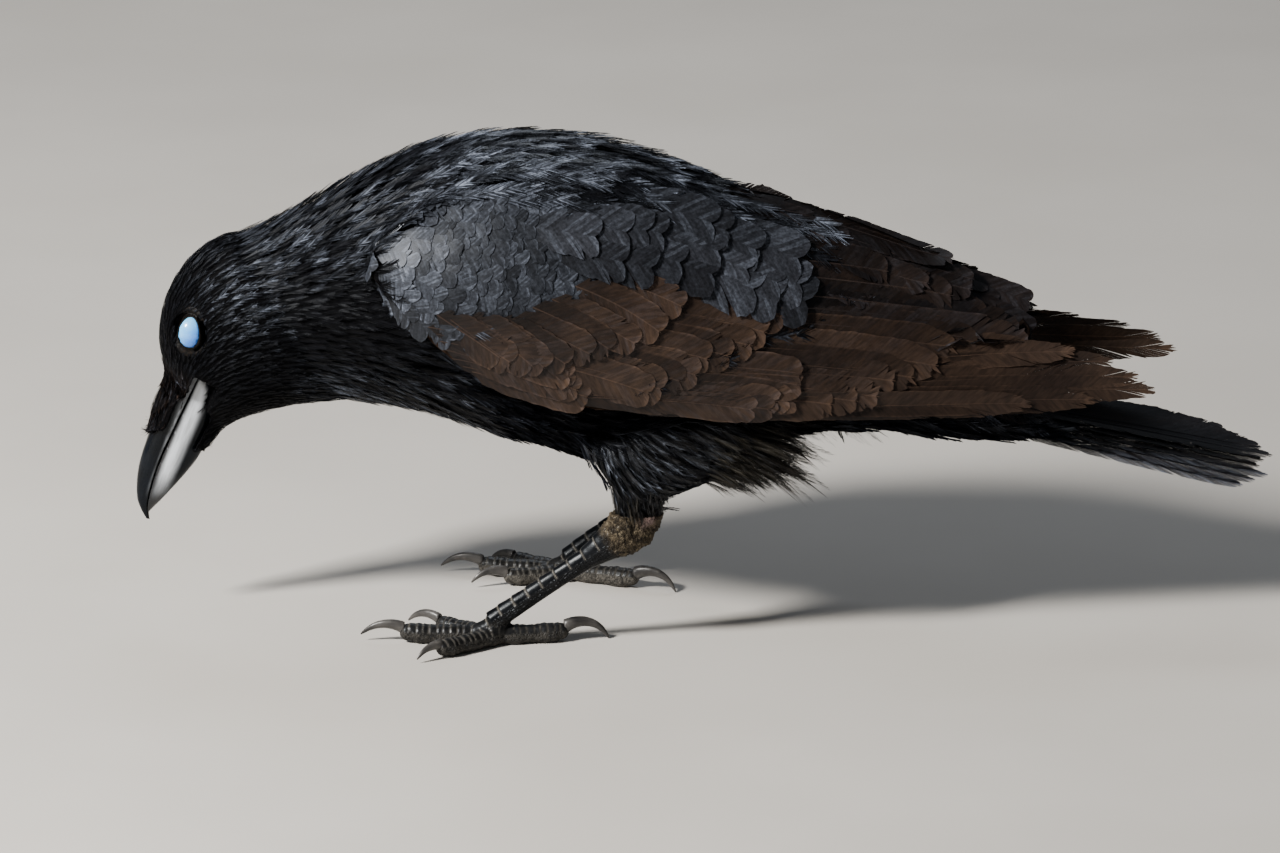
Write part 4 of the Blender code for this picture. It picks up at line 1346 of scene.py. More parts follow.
def fringe_batch(rng, side):
    """Loose strands that stand out behind one thigh."""
    middles, word = _made["skin"].middles, WORDS[side]
    heel_x = LEGS[word].top[0]
    behind = (middles[:, 0] > heel_x + 22.0) & (middles[:, 2] < 92.0)
    patch = Patch(rng, faces_of("thigh_" + word) & behind, 1.5)
    length = (15.0 + 10.0 * ease(22.0, 42.0, patch.x - heel_x)) * patch.about_one(0.2)
    ups = unit(patch.normals * 0.3 + np.array((0.0, side, 0.0)))
    ways = np.stack([np.ones(patch.count), patch.off(0.12), -0.15 - 0.45 * patch.chance()], 1)
    roots = patch.roots - patch.normals * 0.5
    guides = straight(roots, ups, ways, length, 0.3, patch.within(0.3, 2.0), 0.12)
    wear = 0.2 + 0.7 * patch.chance()
    # A little painted sheen.
    return patch.dressed(guides, length, length * 0.07, "shag", 14.0, bloom=0.1, wear=wear)


def bristle_batch(rng):
    """Stiff bristles that lie forwards over the base of the bill."""
    skin = _made["skin"]
    ahead, above = bill_offset(skin.middles)
    brow = faces_of("head") & (ahead > -5.5) & (above > 3.0)
    allowed = (faces_of("nasal_bristles") | brow) & (skin.face_normals @ BILL_AHEAD < 0.8)
    patch = Patch(rng, allowed, 0.62)
    room = BRISTLE_END + patch.within(-2.0, 1.0) - bill_offset(patch.roots)[0]
    length = np.clip(patch.within(6.0, 10.0), 1.5, np.maximum(room, 1.5))
    headings = patch.jitter(BILL_AHEAD - BILL_ABOVE * 0.10 * np.ones((patch.count, 1)), 8)
    high = patch.within(0.3, 1.0) * ease(0.0, 8.0, length)
    guides = patch.march(headings, length, 0.2, high, None)
    # Painted highlights on a few bristles, and brown wear on many.
    bloom, wear = 0.03 + 0.6 * patch.chance(3), 0.1 + 0.7 * patch.chance(2)
    return patch.dressed(guides, length, 0.32, "bristle", 8.0, bloom=bloom, wear=wear)


# ---- wings ----

# Rows of large feathers: the places of the first, middle and last root and tip as (x, z), or as
# (x, y, z) away from the body's middle, and how far above the horizontal the row is looked at to lay
# it on the wing.
# Of a row's last numbers, the one before its tilt is how much painted sheen its feathers have.
Row = namedtuple("Row", "name count roots tips width word lift step wear bloom tilt")
ROWS = (
    Row("secondaries", 9, ((-44, 104), (-22, 114), (2, 134)), ((46, 93.5), (78, 101), (106, 113)),
        8.5, "quill", 0.5, 0.10, 0.85, 0.05, 0.0),
    Row("tertials", 5, ((-8, 128), (0, 136), (8, 145)), ((117, 107), (104, 117), (66, 134)),
        10.5, "quill", 1.4, 0.18, 0.45, 0.10, 0.0),
    Row("ridge", 4, ((2, 17, 146), (8, 10, 150), (14, 4, 153)), ((82, 14, 128), (98, 8, 125), (88, 3, 134)),
        8.0, "quill", 2.0, 0.20, 0.30, 0.15, 62.0),
    Row("primary_coverts", 8, ((-50, 99), (-40, 104), (-30, 112)), ((18, 92.5), (33, 95.5), (34, 105)),
        6.5, "covert", 1.0, 0.10, 0.9, 0.10, 0.0),
    Row("greater_coverts", 10, ((-66, 113), (-42, 122), (-12, 138)), ((-20, 100), (6, 110), (34, 129)),
        7.5, "covert", 1.5, 0.10, 0.95, 0.08, 0.0),
    Row("alula", 7, ((-99, 125), (-93, 116), (-84, 108)), ((-52, 114), (-46, 103), (-43, 96.5)),
        6.5, "covert", 1.5, -0.08, 1.0, 0.10, 0.0),
    Row("middle_coverts", 10, ((-96, 129), (-72, 129), (-40, 143)), ((-74, 112), (-46, 113), (-8, 128)),
        7.0, "covert", 2.0, 0.10, 0.95, 0.10, 0.0),
)
PRIMARY_ROOTS = ((-34, 96.5), (-14, 101.5), (4, 112))
PRIMARY_TIPS = ((118, 89.6), (141, 89.8), (163, 93.0), (157, 97.5), (148, 102.6), (134, 106.0), (118, 108.0))
EVENING_ROUNDS = 4  # how often the bumps of a wing feather's guide are evened
FAR_OFF = 300.0  # rays that look for the wing start this far out


def in_space(place):
    """A place given as (x, z) or (x, y, z), in space."""
    return (place[0], *(place[1:-1] or (0.0,)), place[-1])


@cache
def wing_surface(side):
    """The smooth outer face of one wing's solids."""
    return Surface(*joined([node_mesh(part + WORDS[side]) for part in ("wing_", "primaries_")]))


def side_guides(side, tilt, roots, tips, low, high, sag):
    """Guides from roots to tips on one wing, found by looking at it from its side at a tilt."""
    angle = math.radians(tilt)
    out = np.array((0.0, side * math.cos(angle), math.sin(angle)))
    above = np.array((0.0, -side * math.sin(angle), math.cos(angle)))
    surface = _made["skin"] if tilt else wing_surface(side)
    share = np.linspace(0, 1, LONG_STEPS)[None, :, None]
    flat = roots[:, None] * (1 - share) + tips[:, None] * share
    flat = flat - (flat @ out)[..., None] * out
    flat = flat + sag[:, None, None] * 4 * share * (1 - share) * above
    start = (flat + out * FAR_OFF).reshape(-1, 3)
    hits, normals = surface.cast(start, np.broadcast_to(-out, start.shape))
    height = (hits @ out).reshape(-1, LONG_STEPS)
    normals = normals.reshape(-1, LONG_STEPS, 3)
    places = np.arange(LONG_STEPS)
    for i, (row, ups) in enumerate(zip(height, normals)):
        good = ~np.isnan(row) & ~(ups[:, 0] > 0.4)
        if good.sum() < 2:
            raise RuntimeError(f"a wing feather's guide misses the wing: {roots[i]} {tips[i]}")
        for line in (row, *ups.T):
            line[:] = np.interp(places, places[good], line[good])
    height = evened(height[..., None])[..., 0]
    up = unit(evened(normals))
    points = flat + height[..., None] * out
    ahead = flatten(np.gradient(points, axis=1), up)
    lift = low[:, None] + (high - low)[:, None] * share[..., 0]
    return {"spine": points + up * lift[..., None], "side": np.cross(up, ahead), "up": up}


def evened(rows):
    """Values along guides with their bumps taken out."""
    for _ in range(EVENING_ROUNDS):
        padded = np.concatenate([rows[:, :1], rows, rows[:, -1:]], 1)
        rows = padded[:, :-2] * 0.25 + padded[:, 1:-1] * 0.5 + padded[:, 2:] * 0.25
    return rows


def row_batch(side, row, rng):
    """One row of large wing feathers."""
    t = np.linspace(0, 1, row.count)
    own_side = np.array((1, side, 1))
    roots = (bow(*map(in_space, row.roots), t) + rng.normal(0, 0.5, (row.count, 3))) * own_side
    tips = (bow(*map(in_space, row.tips), t) + rng.normal(0, 0.9, (row.count, 3))) * own_side
    base = row.lift + row.step * np.arange(row.count)
    guides = side_guides(side, row.tilt, roots, tips, base * 0.45, base, rng.normal(0.8, 0.5, row.count))
    length = np.linalg.norm(tips - roots, axis=1)
    width = row.width * rng.normal(1.0, 0.05, row.count)
    wear = np.clip(row.wear * rng.normal(1.0, 0.12, row.count), 0, 1)
    # Painted sheen, from the row's share.
    looks = {"wear": wear, "bloom": 0.4 * row.bloom, "chart": side_chart}
    batch = dressed(guides, length, width, row.word, rng, 45.0, **looks)
    batch["roll"] = np.full(row.count, -0.07 * side) * np.sign(row.step)
    return batch


def primary_batch(side, rng):
    """The long quills of the folded wing tip."""
    tips = np.array([in_space(tip) for tip in PRIMARY_TIPS])
    if side == RIGHT:
        tips[:, 0] += ease(120, 160, tips[:, 0]) * 10.5
    count = len(tips)
    roots = bow(*map(in_space, PRIMARY_ROOTS), np.linspace(0, 1, count))
    base = 0.35 + 0.10 * np.arange(count)
    guides = side_guides(side, 0.0, roots, tips, base * 0.5, base, np.full(count, -0.6))
    length = np.linalg.norm(tips - roots, axis=1)
    batch = dressed(guides, length, 5.6, "frayed", rng, 80.0, wear=0.75, chart=side_chart)
    batch["roll"] = np.full(count, -0.05 * side)
    return batch


def region_batch(side, region, rng):
    """Small wing feathers scattered over a region of one wing's face."""
    skin = _made["skin"]
    outer = (skin.middles[:, 1] * side > 4.0) & (skin.face_normals[:, 1] * side > 0.05)
    near = faces_of("wing_left", "wing_right", "trunk", "neck")
    patch = Patch(rng, outer & near & region.inside(skin.middles), region.spacing)
    length = region.length(patch.x) * patch.about_one(0.07)
    headings = patch.jitter(region.heading(patch.roots), 6)
    high = region.lift * patch.within(0.94, 1.06)
    guides = patch.march(headings, length, 0.3, high, region.heading)
    # Painted sheen on the small coverts, strongest at the front of the shoulder, where light glints.
    front = 0.35 * (1 - ease(-118.0, -104.0, patch.x))
    looks = {"wear": region.wear, "bloom": np.clip((0.30 + front) * (0.6 + 0.7 * patch.chance()), 0, 1)}
    batch = patch.dressed(guides, length, length * region.width, "round", 42.0, chart=side_chart, **looks)
    batch["roll"] = patch.off(0.02)
    return batch


def lesser_inside(points):
    """The small coverts of the shoulder."""
    x, z = points[:, 0], points[:, 2]
    top = np.where(x > -66, curve(((-66, 160), (-50, 151), (-28, 148)), x), mantle_edge(x))
    return (x > -124) & (x < -28) & (z < top) & (z > wing_cover_lower(x))


def lesser_heading(points):
    """Their lie: back along the shoulder, and down behind the bend of the wing."""
    steep = 0.25 + 0.75 * ease(150.0, 128.0, points[:, 2]) * ease(-60.0, -105.0, points[:, 0])
    return in_plane(1.0, -steep)


def scapular_inside(points):
    """The rounded glossy feathers between the shoulder and the tertials."""
    x, z = points[:, 0], points[:, 2]
    low = curve(((-70, 160), (-64, 156), (-50, 150), (-28, 146), (-6, 141), (8, 140)), x)
    return (x > -68) & (x < 2) & (z > low) & (z < mantle_edge(x) + 1.0)


def scapular_heading(points):
    """Their lie: back and slightly down."""
    return in_plane(1.0, -0.18 - 0.30 * ease(-50, 15, points[:, 0]))


# Regions of small feathers; the width is a share of the length.
Region = namedtuple("Region", "inside heading spacing length width lift wear")
REGIONS = (
    Region(lesser_inside, lesser_heading, 3.8, lambda x: 15.0, 0.38, 1.6, 0.0),
    Region(scapular_inside, scapular_heading, 7.5, lambda x: 28.0 + 12.0 * ease(-60, 0, x), 0.30, 4.0, 0.05),
)


# ---- tail ----


def tail_batch(rng):
    """Twelve tail quills, the middle pair on top."""
    across = np.linspace(-1, 1, TAIL_QUILLS)
    share = np.linspace(0, 1, LONG_STEPS)
    tips = TAIL_TIP - TAIL_ROUNDING * (across - TAIL_LONGEST) ** 2 - 5.0 * rng.random(TAIL_QUILLS)
    x = TAIL_ROOT + (tips[:, None] - TAIL_ROOT) * share
    y = across[:, None] * 0.9 * (TAIL_HALF_ROOT + TAIL_SPREAD * (x - 128.2)) + TAIL_SHIFT
    z = TAIL_HEIGHT + TAIL_FALL * (x - 200.0) + TAIL_ROLL * y + TAIL_CAMBER * (0.5 - across[:, None] ** 2)
    z = z + 1.1 * (1 - np.abs(across[:, None])) - 0.4
    spine = np.stack([x, y, z], -1)
    run = unit(np.gradient(spine, axis=1))
    tilt = unit(np.array((0.0, -TAIL_ROLL, 1.0)))
    up = flatten(np.broadcast_to(tilt, spine.shape), run)
    guides = {"spine": spine, "side": np.cross(up, run), "up": up}
    batch = dressed(guides, tips - TAIL_ROOT, 6.2, "frayed", rng, 200.0, chart=level_chart)
    batch["roll"] = 0.14 * np.sign(across)
    # Painted highlights: silvery sheen on the outer quills of the left side, which faces the camera and the
    # key light.
    batch["bloom"] = 0.04 + 1.1 * ease(-0.3, -0.9, across) * rng.random(TAIL_QUILLS)
    batch["wear"] = 0.1 + 0.3 * ease(-0.6, -1.0, across)
    return batch


# ---- bill, eyes, legs ----


def subdivided(name, node, levels, crease_angle):
    """A CAD node's shape, made smooth, with its sharp edges kept."""
    obj = new_object(name, new_mesh(name, *node_mesh(node)))
    with edited(obj.data) as bm:
        crease = bm.edges.layers.float.new("crease_edge")
        for e in bm.edges:
            if len(e.link_faces) == 2 and e.calc_face_angle() > math.radians(crease_angle):
                e[crease] = 0.85
    smoothing = obj.modifiers.new("smooth", "SUBSURF")
    smoothing.levels = smoothing.render_levels = levels
    applied(obj)
    obj.data.shade_smooth()
    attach(obj, "root")
    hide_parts(node)
    return obj


MOUTH_WIDTH, MOUTH_LAP = 0.45, 0.7  # the lining is this share of the bill's width, and laps this far


def make_bill():
    """Both mandibles in polished horn, and the dark lining between them."""
    horn = horn_finish()
    parts = []
    for node, lap in (("bill_upper", -MOUTH_LAP), ("bill_lower", MOUTH_LAP)):
        obj = subdivided(node + "_horn", node, 3, 38)
        ahead, above = bill_offset(co_of(obj.data))
        if lap > 0:
            below = 1.6 * ease(0.0, 40.0, ahead) - above  # how far below the edge of the mouth
            # Painted reflection: a broad pale band on the lower mandible's side below the mouth's edge.
            band = ease(-0.2, 1.8, below) * (1 - ease(3.4, 7.4, below)) * (1 - ease(34.0, 50.0, ahead))
            band = band * ease(-4.0, 0.0, ahead - 0.9 * below)
            shine = 0.12 + 0.88 * (1 - ease(3.0, 6.0, below))
        else:
            # Painted reflection: a thin pale strip on the upper mandible just above the mouth's edge.
            band = 0.28 * (1 - ease(0.8, 2.6, above - 1.2)) * (1 - ease(36.0, 50.0, ahead))
            shine = np.full(len(ahead), 0.15)
        attribute(obj.data, "band", band)
        attribute(obj.data, "shine", shine)
        obj.data.materials.append(horn)
        points, faces = node_mesh(node)
        parts.append((points * np.array((1.0, MOUTH_WIDTH, 1.0)) + BILL_ABOVE * lap, faces))
    lining = new_object("mouth_lining", new_mesh("mouth_lining", *joined(parts)))
    finish = Finish("mouth_skin", 0.3)
    mottle = finish.noise(300.0).mapped(0.3, 0.7)
    colour = finish.mix(mottle, (0.004, 0.004, 0.004), (0.010, 0.009, 0.009))
    lining.data.materials.append(finish.finished(colour, 0.7))
    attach(lining, "root")


EYE_RINGS, EYE_AROUND = 26, 56
EYE_SUNK = 3.6  # how much smaller the eyeball is away from the lids' opening


def make_eye(word, side):
    """One eyeball under its drawn inner lid."""
    centre, across, up, axis = eye_frame(side)
    polar = math.pi * np.arange(1, EYE_RINGS)[:, None, None] / EYE_RINGS
    turned = math.tau * np.arange(EYE_AROUND)[None, :, None] / EYE_AROUND
    rings = axis * np.cos(polar) + (across * np.cos(turned) + up * np.sin(turned)) * np.sin(polar)
    points = centre + EYE_RADIUS * np.concatenate([axis[None], rings.reshape(-1, 3), -axis[None]])
    x, z, out = eye_offset(points, side)
    beyond = np.where(out < 0, 2.0, np.hypot(x / LID_OPENING[0], z / LID_OPENING[1]))
    points = centre + (points - centre) * (1 - EYE_SUNK / EYE_RADIUS * ease(1.02, 1.22, beyond))[:, None]
    faces = []
    for k in range(EYE_AROUND):
        n = (k + 1) % EYE_AROUND
        faces.append((0, 1 + k, 1 + n))
        for a in range(1, len(points) - 1 - EYE_AROUND, EYE_AROUND):
            b = a + EYE_AROUND
            faces.append((a + k, b + k, b + n, a + n))
        a = len(points) - 1 - EYE_AROUND
        faces.append((a + k, len(points) - 1, a + n))
    mesh = new_mesh("eyeball", points, faces)
    with edited(mesh) as bm:
        bmesh.ops.recalc_face_normals(bm, faces=bm.faces)
    mesh.shade_smooth()
    ball = new_object(f"eyeball_{word}", mesh)
    away = (points - centre) / EYE_RADIUS
    # Painted shade: the lid's colour deepens towards its lower back.
    attribute(mesh, "shade", ease(-0.5, 0.7, away @ (across * 0.75 - up * 0.66)))
    mesh.materials.append(bpy.data.materials.get("eye_inner_lid") or eye_finish())
    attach(ball, "root")
    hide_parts(f"eye_{word}")


# The lids' cross-section: how many times the opening's size, how far above the eyeball, and how much of
# the way it has come down to the skin.
LID_PROFILE = np.array((
    (0.95, -0.30, 0.0), (1.0, 0.12, 0.0), (1.05, 0.36, 0.0), (1.1, 0.44, 0.0), (1.17, 0.42, 0.12),
    (1.27, 0.36, 0.38), (1.4, 0.3, 0.66), (1.57, 0.2, 0.88), (1.8, 0.0, 1.0),
))
LID_CREST = 3  # the highest of them
LID_BEADS = 28
LID_STEPS = 6  # points round the rim for each bead
LID_RAYS = 30.0  # rays that look for the skin start this far out


def make_lids(word, side):
    """The beaded rim of the lids, from the edge of the opening out on to the skin."""
    centre, across, up, axis = eye_frame(side)
    around = LID_BEADS * LID_STEPS
    turned = np.arange(around) * math.tau / around
    grow, lift, down = np.split(LID_PROFILE, 3, 1)
    x = LID_OPENING[0] * grow * np.cos(turned) * (1.0 - 0.16 * np.sin(turned))
    z = LID_OPENING[1] * grow * np.sin(turned)
    flat = centre + x[..., None] * across + z[..., None] * up
    start = (flat + axis * LID_RAYS).reshape(-1, 3)
    hits, _ = _made["skin"].cast(start, np.broadcast_to(-axis, start.shape))
    on_skin = ((hits - centre) @ axis).reshape(x.shape)
    on_ball = np.sqrt(np.maximum(EYE_RADIUS**2 - x**2 - z**2, 0.0))
    crest = np.where(grow < 1.12, on_ball, on_ball[LID_CREST])
    out = (crest + lift) * (1 - down) + np.nan_to_num(on_skin, nan=0.0) * down
    out = np.where(down > 0, np.fmax(out, on_skin + 0.12), out)
    out[-1] = on_skin[-1] - 0.35
    bead = 0.10 * np.cos(LID_BEADS * turned) * np.exp(-(((grow - 1.1) / 0.08) ** 2))
    points = flat + (out + bead)[..., None] * axis
    faces = []
    for a, k in product(range(0, x.size - around, around), range(around)):
        b, n = a + around, (k + 1) % around
        faces.append((a + k, a + n, b + n, b + k) if side == LEFT else (a + k, b + k, b + n, a + n))
    rim = new_object(f"eyelids_{word}", new_mesh("eyelids", points.reshape(-1, 3), faces))
    rim.data.materials.append(bpy.data.materials.get("eyelid_skin") or lid_finish())
    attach(rim, "root")


LEG_SWELL, LEG_VOXEL, LEG_ROUNDS = 0.35, 0.5, 4  # swelling, grain and evening of the leg's mesh
LEG_DRAWS = {"left": 31, "right": 32}  # seeds of the lumps on each heel

# A limb of the foot: its ends, how far apart its plates are and where the first begins, whether they
# overlap downwards, how strong the seams between them are and how high they stand.
Limb = namedtuple("Limb", "start end spacing shift downwards seam height")


def toe_way(leg, toe):
    """The level direction of a toe."""
    angle = math.radians(leg.headings[toe])
    way = np.array((-math.cos(angle), leg.side * math.sin(angle), 0.0))
    return -way if toe == "hind" else way


def plates_of(limb, points):
    """How near points are to a limb, and its plates' share, seams and relief there."""
    run = limb.end - limb.start
    length = np.linalg.norm(run)
    run = run / length
    along = np.clip((points - limb.start) @ run, -3.0, length + 3.0)
    offset = points - (limb.start + along[:, None] * run)
    gap = np.linalg.norm(offset, axis=1)
    above = flatten(np.array((0.0, 0.0, 1.0)), run)
    on_top = ease(0.05, 0.35, (offset @ above) / np.maximum(gap, 1e-6))
    phase = ((along + 0.25 * np.sin(along * 0.9)) / limb.spacing + limb.shift) % 1.0
    if limb.downwards:
        phase = 1.0 - phase
    seam = np.exp(-((np.minimum(phase, 1 - phase) * limb.spacing / 0.26) ** 2)) * limb.seam
    return gap, on_top, seam * on_top, on_top * ((phase**0.8 - 0.5) * limb.height - 0.28 * seam)


def make_leg(word, leg):
    """One leg's bare skin: shank and toes as one, with plates, grooves and a rough heel."""
    nodes = [f"tarsus_{word}"] + [f"toe_{word}_{toe}" for toe in TOE_LENGTHS]
    foot = np.array((leg.foot[0] - 2.5, leg.foot[1], 8.6))
    heel = np.array((leg.heel[0], leg.foot[1], leg.heel[1]))
    knuckle = np.array((*leg.foot, 4.0))
    ahead = toe_way(leg, "middle")
    balls = [(knuckle + (-1.5, 0.0, 1.8), 5.0), (knuckle + ahead * 6.0 + (0.0, 0.0, 0.6), 4.3)]
    balls.append((knuckle + ahead * 3.0 + (0.0, 0.0, 2.6), 4.2))
    limbs = [Limb(foot, heel, 6.2, 0.25, True, 1.0, 0.34)]
    for toe, (length, radius) in TOE_LENGTHS.items():
        end = knuckle + toe_way(leg, toe) * length
        limbs.append(Limb(knuckle, end, 2.5, 0.0, False, 0.5, 0.36))
        balls.append((end - toe_way(leg, toe) * 0.8 + (0.0, 0.0, radius - 4.0), radius * 0.94))
    obj = merged_shell(f"leg_skin_{word}", nodes, lambda node: LEG_SWELL, LEG_VOXEL, LEG_ROUNDS, balls)
    mesh = obj.data
    points, normals = co_of(mesh), normals_of(mesh)
    nearest = np.full(len(points), math.inf)
    plate, groove, relief = np.zeros((3, len(points)))
    for limb in limbs:
        gap, *made = plates_of(limb, points)
        mine = gap < nearest
        for kept, new in zip((nearest, plate, groove, relief), (gap, *made)):
            kept[mine] = new[mine]
    rough_heel = ease(-11.0, -6.0, (points - heel) @ unit(heel - foot))
    lumps = lumpy(points, 1.6, np.random.default_rng(LEG_DRAWS[word])) * 0.45
    calm = 1 - rough_heel
    lift = (relief * calm + lumps * rough_heel) * ease(0.4, 1.6, points[:, 2])
    moved = points + normals * (lift - LEG_SWELL)[:, None]
    moved[:, 2] = np.maximum(moved[:, 2], 0.0)
    set_co(mesh, moved)
    dust = (1 - ease(3.0, 12.0, points[:, 2])) * (1 - 0.75 * plate) + 0.08 * (1 - plate) * calm
    bare = np.array((leg.top[0] + 4.0, leg.foot[1] + leg.side * 6.0, leg.top[1] - 1.0))
    for name, values in (
        ("plate", plate * calm),
        ("groove", groove * calm),
        ("dust", np.clip(dust * (0.4 if leg.side == LEFT else 1.0), 0, 1)),
        ("heel", rough_heel),
        ("bare", 0.8 * np.exp(-((np.linalg.norm(points - bare, axis=1) / 2.6) ** 2))),
    ):
        attribute(mesh, name, values)
    mesh.materials.append(bpy.data.materials.get("leg_scales") or scale_finish())
    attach(obj, "root")
    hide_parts(*nodes)


def lumpy(points, size, rng):
    """Soft lumps of a size, between about -1 and 1."""
    total = np.zeros(len(points))
    for _ in range(9):
        way = unit(rng.normal(0, 1, 3))
        total += np.sin(points @ way * math.tau / (size * rng.uniform(0.7, 2.2)) + rng.uniform(0, math.tau))
    return total / 4.5


def make_claws():
    """Eight hooked claws."""
    horn = claw_finish()
    for word, toe in product(SIDES, TOE_LENGTHS):
        node = f"claw_{word}_{toe}"
        obj = subdivided(node + "_horn", node, 2, 50)
        obj.data.materials.append(horn)


# ---- stage ----

# The camera looks level with the bird's side, from a little above.
VIEW_ELEVATION = 17.0
VIEW_DISTANCE = 4.0
VIEW_WIDTH = 0.4672  # how wide its view is at the bird
VIEW_CENTRE = np.array((-23.7, 0.0, 71.2))
SENSOR = 36.0

# Each light's place and target in metres, its size, power and colour.
LIGHTS = {
    "key_light": ((-1.15, -0.72, 1.10), (0.0, 0.0, 0.08), 0.28, 74.0, (1.0, 0.97, 0.92)),
    "back_light": ((-0.1, 1.0, 1.3), (0.0, 0.0, 0.1), 0.6, 6.0, (0.86, 0.92, 1.0)),
    "low_light": ((-0.95, -1.2, 0.26), (-0.15, 0.0, 0.06), 0.45, 1.5, (0.95, 0.97, 1.0)),
}
SKY = {"Color": (0.86, 0.92, 1.0, 1.0), "Strength": 0.11}


def put(name, data, place, facing):
    """Add a light or a camera that faces a way."""
    obj = bpy.data.objects.new(name, data)
    obj.location = place
    obj.rotation_euler = facing.to_track_quat("-Z", "Y").to_euler()
    bpy.context.scene.collection.objects.link(obj)
    return obj


def make_stage():
    """Pale floor, soft square lights and the camera."""
    bpy.ops.mesh.primitive_plane_add(size=6.0)
    floor = bpy.context.object
    floor.name = "floor"
    finish = Finish("pale_floor", 0.3)
    mottle = finish.noise(6.0, 4.0).mapped(0.3, 0.7)
    colour = finish.mix(mottle, (0.50, 0.475, 0.44), (0.54, 0.515, 0.48))
    floor.data.materials.append(finish.finished(colour, 0.85))

    world = bpy.data.worlds.new("studio")
    bpy.context.scene.world = world
    world.use_nodes = True
    for name, value in SKY.items():
        world.node_tree.nodes["Background"].inputs[name].default_value = value
    for name, (place, target, size, power, colour) in LIGHTS.items():
        light = bpy.data.lights.new(name, "AREA")
        light.shape, light.size, light.energy, light.color = "SQUARE", size, power, colour
        put(name, light, place, Vector(target) - Vector(place))

    tilt = math.radians(VIEW_ELEVATION)
    back = Vector((0.0, -math.cos(tilt), math.sin(tilt)))
    data = bpy.data.cameras.new("camera")
    data.sensor_width = SENSOR
    data.lens = SENSOR * VIEW_DISTANCE / VIEW_WIDTH
    data.clip_start, data.clip_end = 0.1, 50.0
    place = Vector(VIEW_CENTRE * MM + SHIFT) + back * VIEW_DISTANCE
    bpy.context.scene.camera = put("camera", data, place, -back)


# ---- add-on ----


class CrowCoatSettings(bpy.types.PropertyGroup):
    """Sizes and colours of the crow's coat."""

    black: bpy.props.FloatVectorProperty(
        name="Black", description="Colour of fresh feathers", subtype="COLOR", size=3, min=0, max=1,
        default=(0.0019, 0.0019, 0.0026),
    )
    brown: bpy.props.FloatVectorProperty(
        name="Worn brown", description="Colour of faded wing feathers", subtype="COLOR", size=3, min=0, max=1,
        default=(0.031, 0.0182, 0.0114),
    )
    # Colour of the painted sheen: silvery streaks painted on the strands where light would glint.
    painted_silver: bpy.props.FloatVectorProperty(
        name="Bloom", description="Silvery sheen on the strands", subtype="COLOR", size=3, min=0, max=1,
        default=(0.145, 0.165, 0.212),
    )
    seed: bpy.props.IntProperty(name="Seed", description="Start of the random lie of the coat", default=5)


class CROW_OT_skin(bpy.types.Operator):
    """One skin under the coat"""

    bl_idname = "crow.skin"
    bl_label = "Skin"

    def execute(self, context):
        make_skin()
        return {"FINISHED"}


# Pieces of the body's coat: their finish, and their batches with the number of each one's own random
# draws and its measures.
BODY_COAT = {
    "head_plumage": ("fine", (head_batch, 1)),
    "bristle_plumage": ("fine", (bristle_batch, 2), (gape_batch, 10)),
    "neck_plumage": ("body", (neck_batch, 3)),
    # The mantle has the most painted sheen, for the glints of light on the back.
    "mantle_plumage": ("back", (trunk_batch, 4, 0.62, 1.1, "lance", 3.3, 21, 2.1), (rump_batch, 9)),
    "flank_plumage": ("body", (trunk_batch, 5, 0.3, 0.62, "lance", 3.5, 21, 0.35)),
    "belly_plumage": ("body", (trunk_batch, 6, -0.1, 0.3, "shag", 3.5, 23, 0.18)),
    "thigh_plumage": ("shaggy", (thigh_batch, 7, LEFT), (thigh_batch, 8, RIGHT)),
    "thigh_fringe": (
        "shaggy", (fringe_batch, 11, LEFT), (fringe_batch, 12, RIGHT), (cuff_batch, 13, LEFT),
        (cuff_batch, 14, RIGHT),
    ),
}
WING_DRAWS = {"left": 20, "right": 21}
TAIL_DRAWS = 40


def draws(number):
    """Random numbers of their own for one batch or one wing, set by the seed."""
    return np.random.default_rng(bpy.context.scene.crow_coat.seed * 100 + number)


class CROW_OT_body_plumage(bpy.types.Operator):
    """Feathers of the head, neck, trunk and thighs"""

    bl_idname = "crow.body_plumage"
    bl_label = "Body plumage"

    def execute(self, context):
        finishes = {
            "fine": feather_finish("head_feathers", 0.5, 0.2, 0.40, 0.06),
            "body": feather_finish("body_feathers", 0.6, 0.25, 0.36, 0.06),
            "back": feather_finish("back_feathers", 0.6, 0.25, 0.30, 0.25, even=0.25),
            "shaggy": feather_finish("thigh_feathers", 0.6, 0.3, 0.36, 0.3, worn=(0.05, 0.042, 0.028)),
        }
        for name, (finish, *batches) in BODY_COAT.items():
            made = [maker(draws(number), *measures) for maker, number, *measures in batches]
            lay(name, made, finishes[finish])
        return {"FINISHED"}


class CROW_OT_wings(bpy.types.Operator):
    """Small coverts, large coverts and quills of both wings"""

    bl_idname = "crow.wings"
    bl_label = "Wings"

    def execute(self, context):
        small = feather_finish("shoulder_feathers", 0.5, 0.25, 0.42, 0.2, even=0.4)
        large = feather_finish("wing_feathers", 0.7, 0.8, 0.36, 0.2, shaft=1.0)
        for word, side in SIDES.items():
            rng = draws(WING_DRAWS[word])
            coverts = [region_batch(side, region, rng) for region in REGIONS]
            lay("shoulder_plumage_" + word, coverts, small)
            batches = [row_batch(side, row, rng) for row in ROWS] + [primary_batch(side, rng)]
            quills = lay("wing_quills_" + word, batches, large)
            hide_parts("primaries_" + word)
        return {"FINISHED"}


class CROW_OT_tail(bpy.types.Operator):
    """Tail quills"""

    bl_idname = "crow.tail"
    bl_label = "Tail"

    def execute(self, context):
        finish = feather_finish("tail_feathers", 0.7, 0.6, 0.34, shaft=1.2)
        tail = lay("tail_quills", [tail_batch(draws(TAIL_DRAWS))], finish)
        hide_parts("tail")
        return {"FINISHED"}


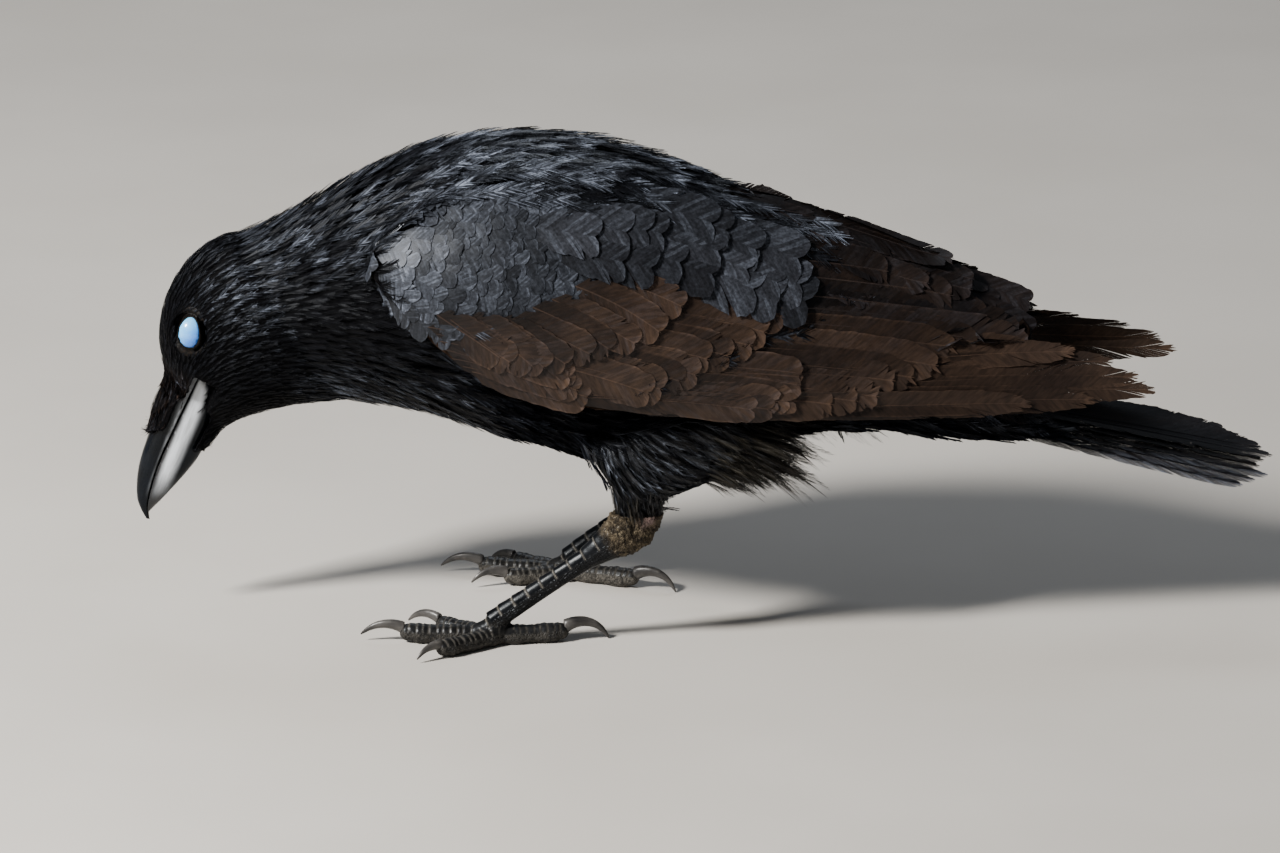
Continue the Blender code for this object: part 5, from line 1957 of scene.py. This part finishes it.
class CROW_OT_head_parts(bpy.types.Operator):
    """Bill and eyes"""

    bl_idname = "crow.head_parts"
    bl_label = "Bill and eyes"

    def execute(self, context):
        make_bill()
        for word, side in SIDES.items():
            make_eye(word, side)
            make_lids(word, side)
        return {"FINISHED"}


class CROW_OT_legs(bpy.types.Operator):
    """Scaly legs and claws"""

    bl_idname = "crow.legs"
    bl_label = "Legs"

    def execute(self, context):
        for word, leg in LEGS.items():
            make_leg(word, leg)
        make_claws()
        return {"FINISHED"}


class CROW_OT_stage(bpy.types.Operator):
    """Floor, lights and camera"""

    bl_idname = "crow.stage"
    bl_label = "Stage"

    def execute(self, context):
        make_stage()
        return {"FINISHED"}


STAGES = (
    CROW_OT_stage, CROW_OT_skin, CROW_OT_head_parts, CROW_OT_legs, CROW_OT_body_plumage, CROW_OT_wings,
    CROW_OT_tail,
)


class CROW_PT_panel(bpy.types.Panel):
    """The crow's making, step by step"""

    bl_idname = "CROW_PT_panel"
    bl_label = "Crow"
    bl_space_type = "VIEW_3D"
    bl_region_type = "UI"
    bl_category = "Crow"

    def draw(self, context):
        for key in ("black", "brown", "painted_silver", "seed"):
            self.layout.prop(context.scene.crow_coat, key)
        for stage in STAGES:
            self.layout.operator(stage.bl_idname)


def register():
    """Make the operators, the settings and the panel known."""
    for item in (CrowCoatSettings, *STAGES, CROW_PT_panel):
        bpy.utils.register_class(item)
    bpy.types.Scene.crow_coat = bpy.props.PointerProperty(type=CrowCoatSettings)


def unregister():
    """Take them away again."""
    del bpy.types.Scene.crow_coat
    for item in (CROW_PT_panel, *reversed(STAGES), CrowCoatSettings):
        bpy.utils.unregister_class(item)


def main():
    """Make every piece in order, then take away the vane shapes."""
    register()
    bpy.ops.crow.stage()
    bpy.ops.crow.skin()
    bpy.ops.crow.head_parts()
    bpy.ops.crow.legs()
    bpy.ops.crow.body_plumage()
    bpy.ops.crow.wings()
    bpy.ops.crow.tail()
    shapes = vane_collection()
    for obj in list(shapes.objects):
        bpy.data.objects.remove(obj)
    bpy.data.collections.remove(shapes)


if __name__ == "__main__":
    main()
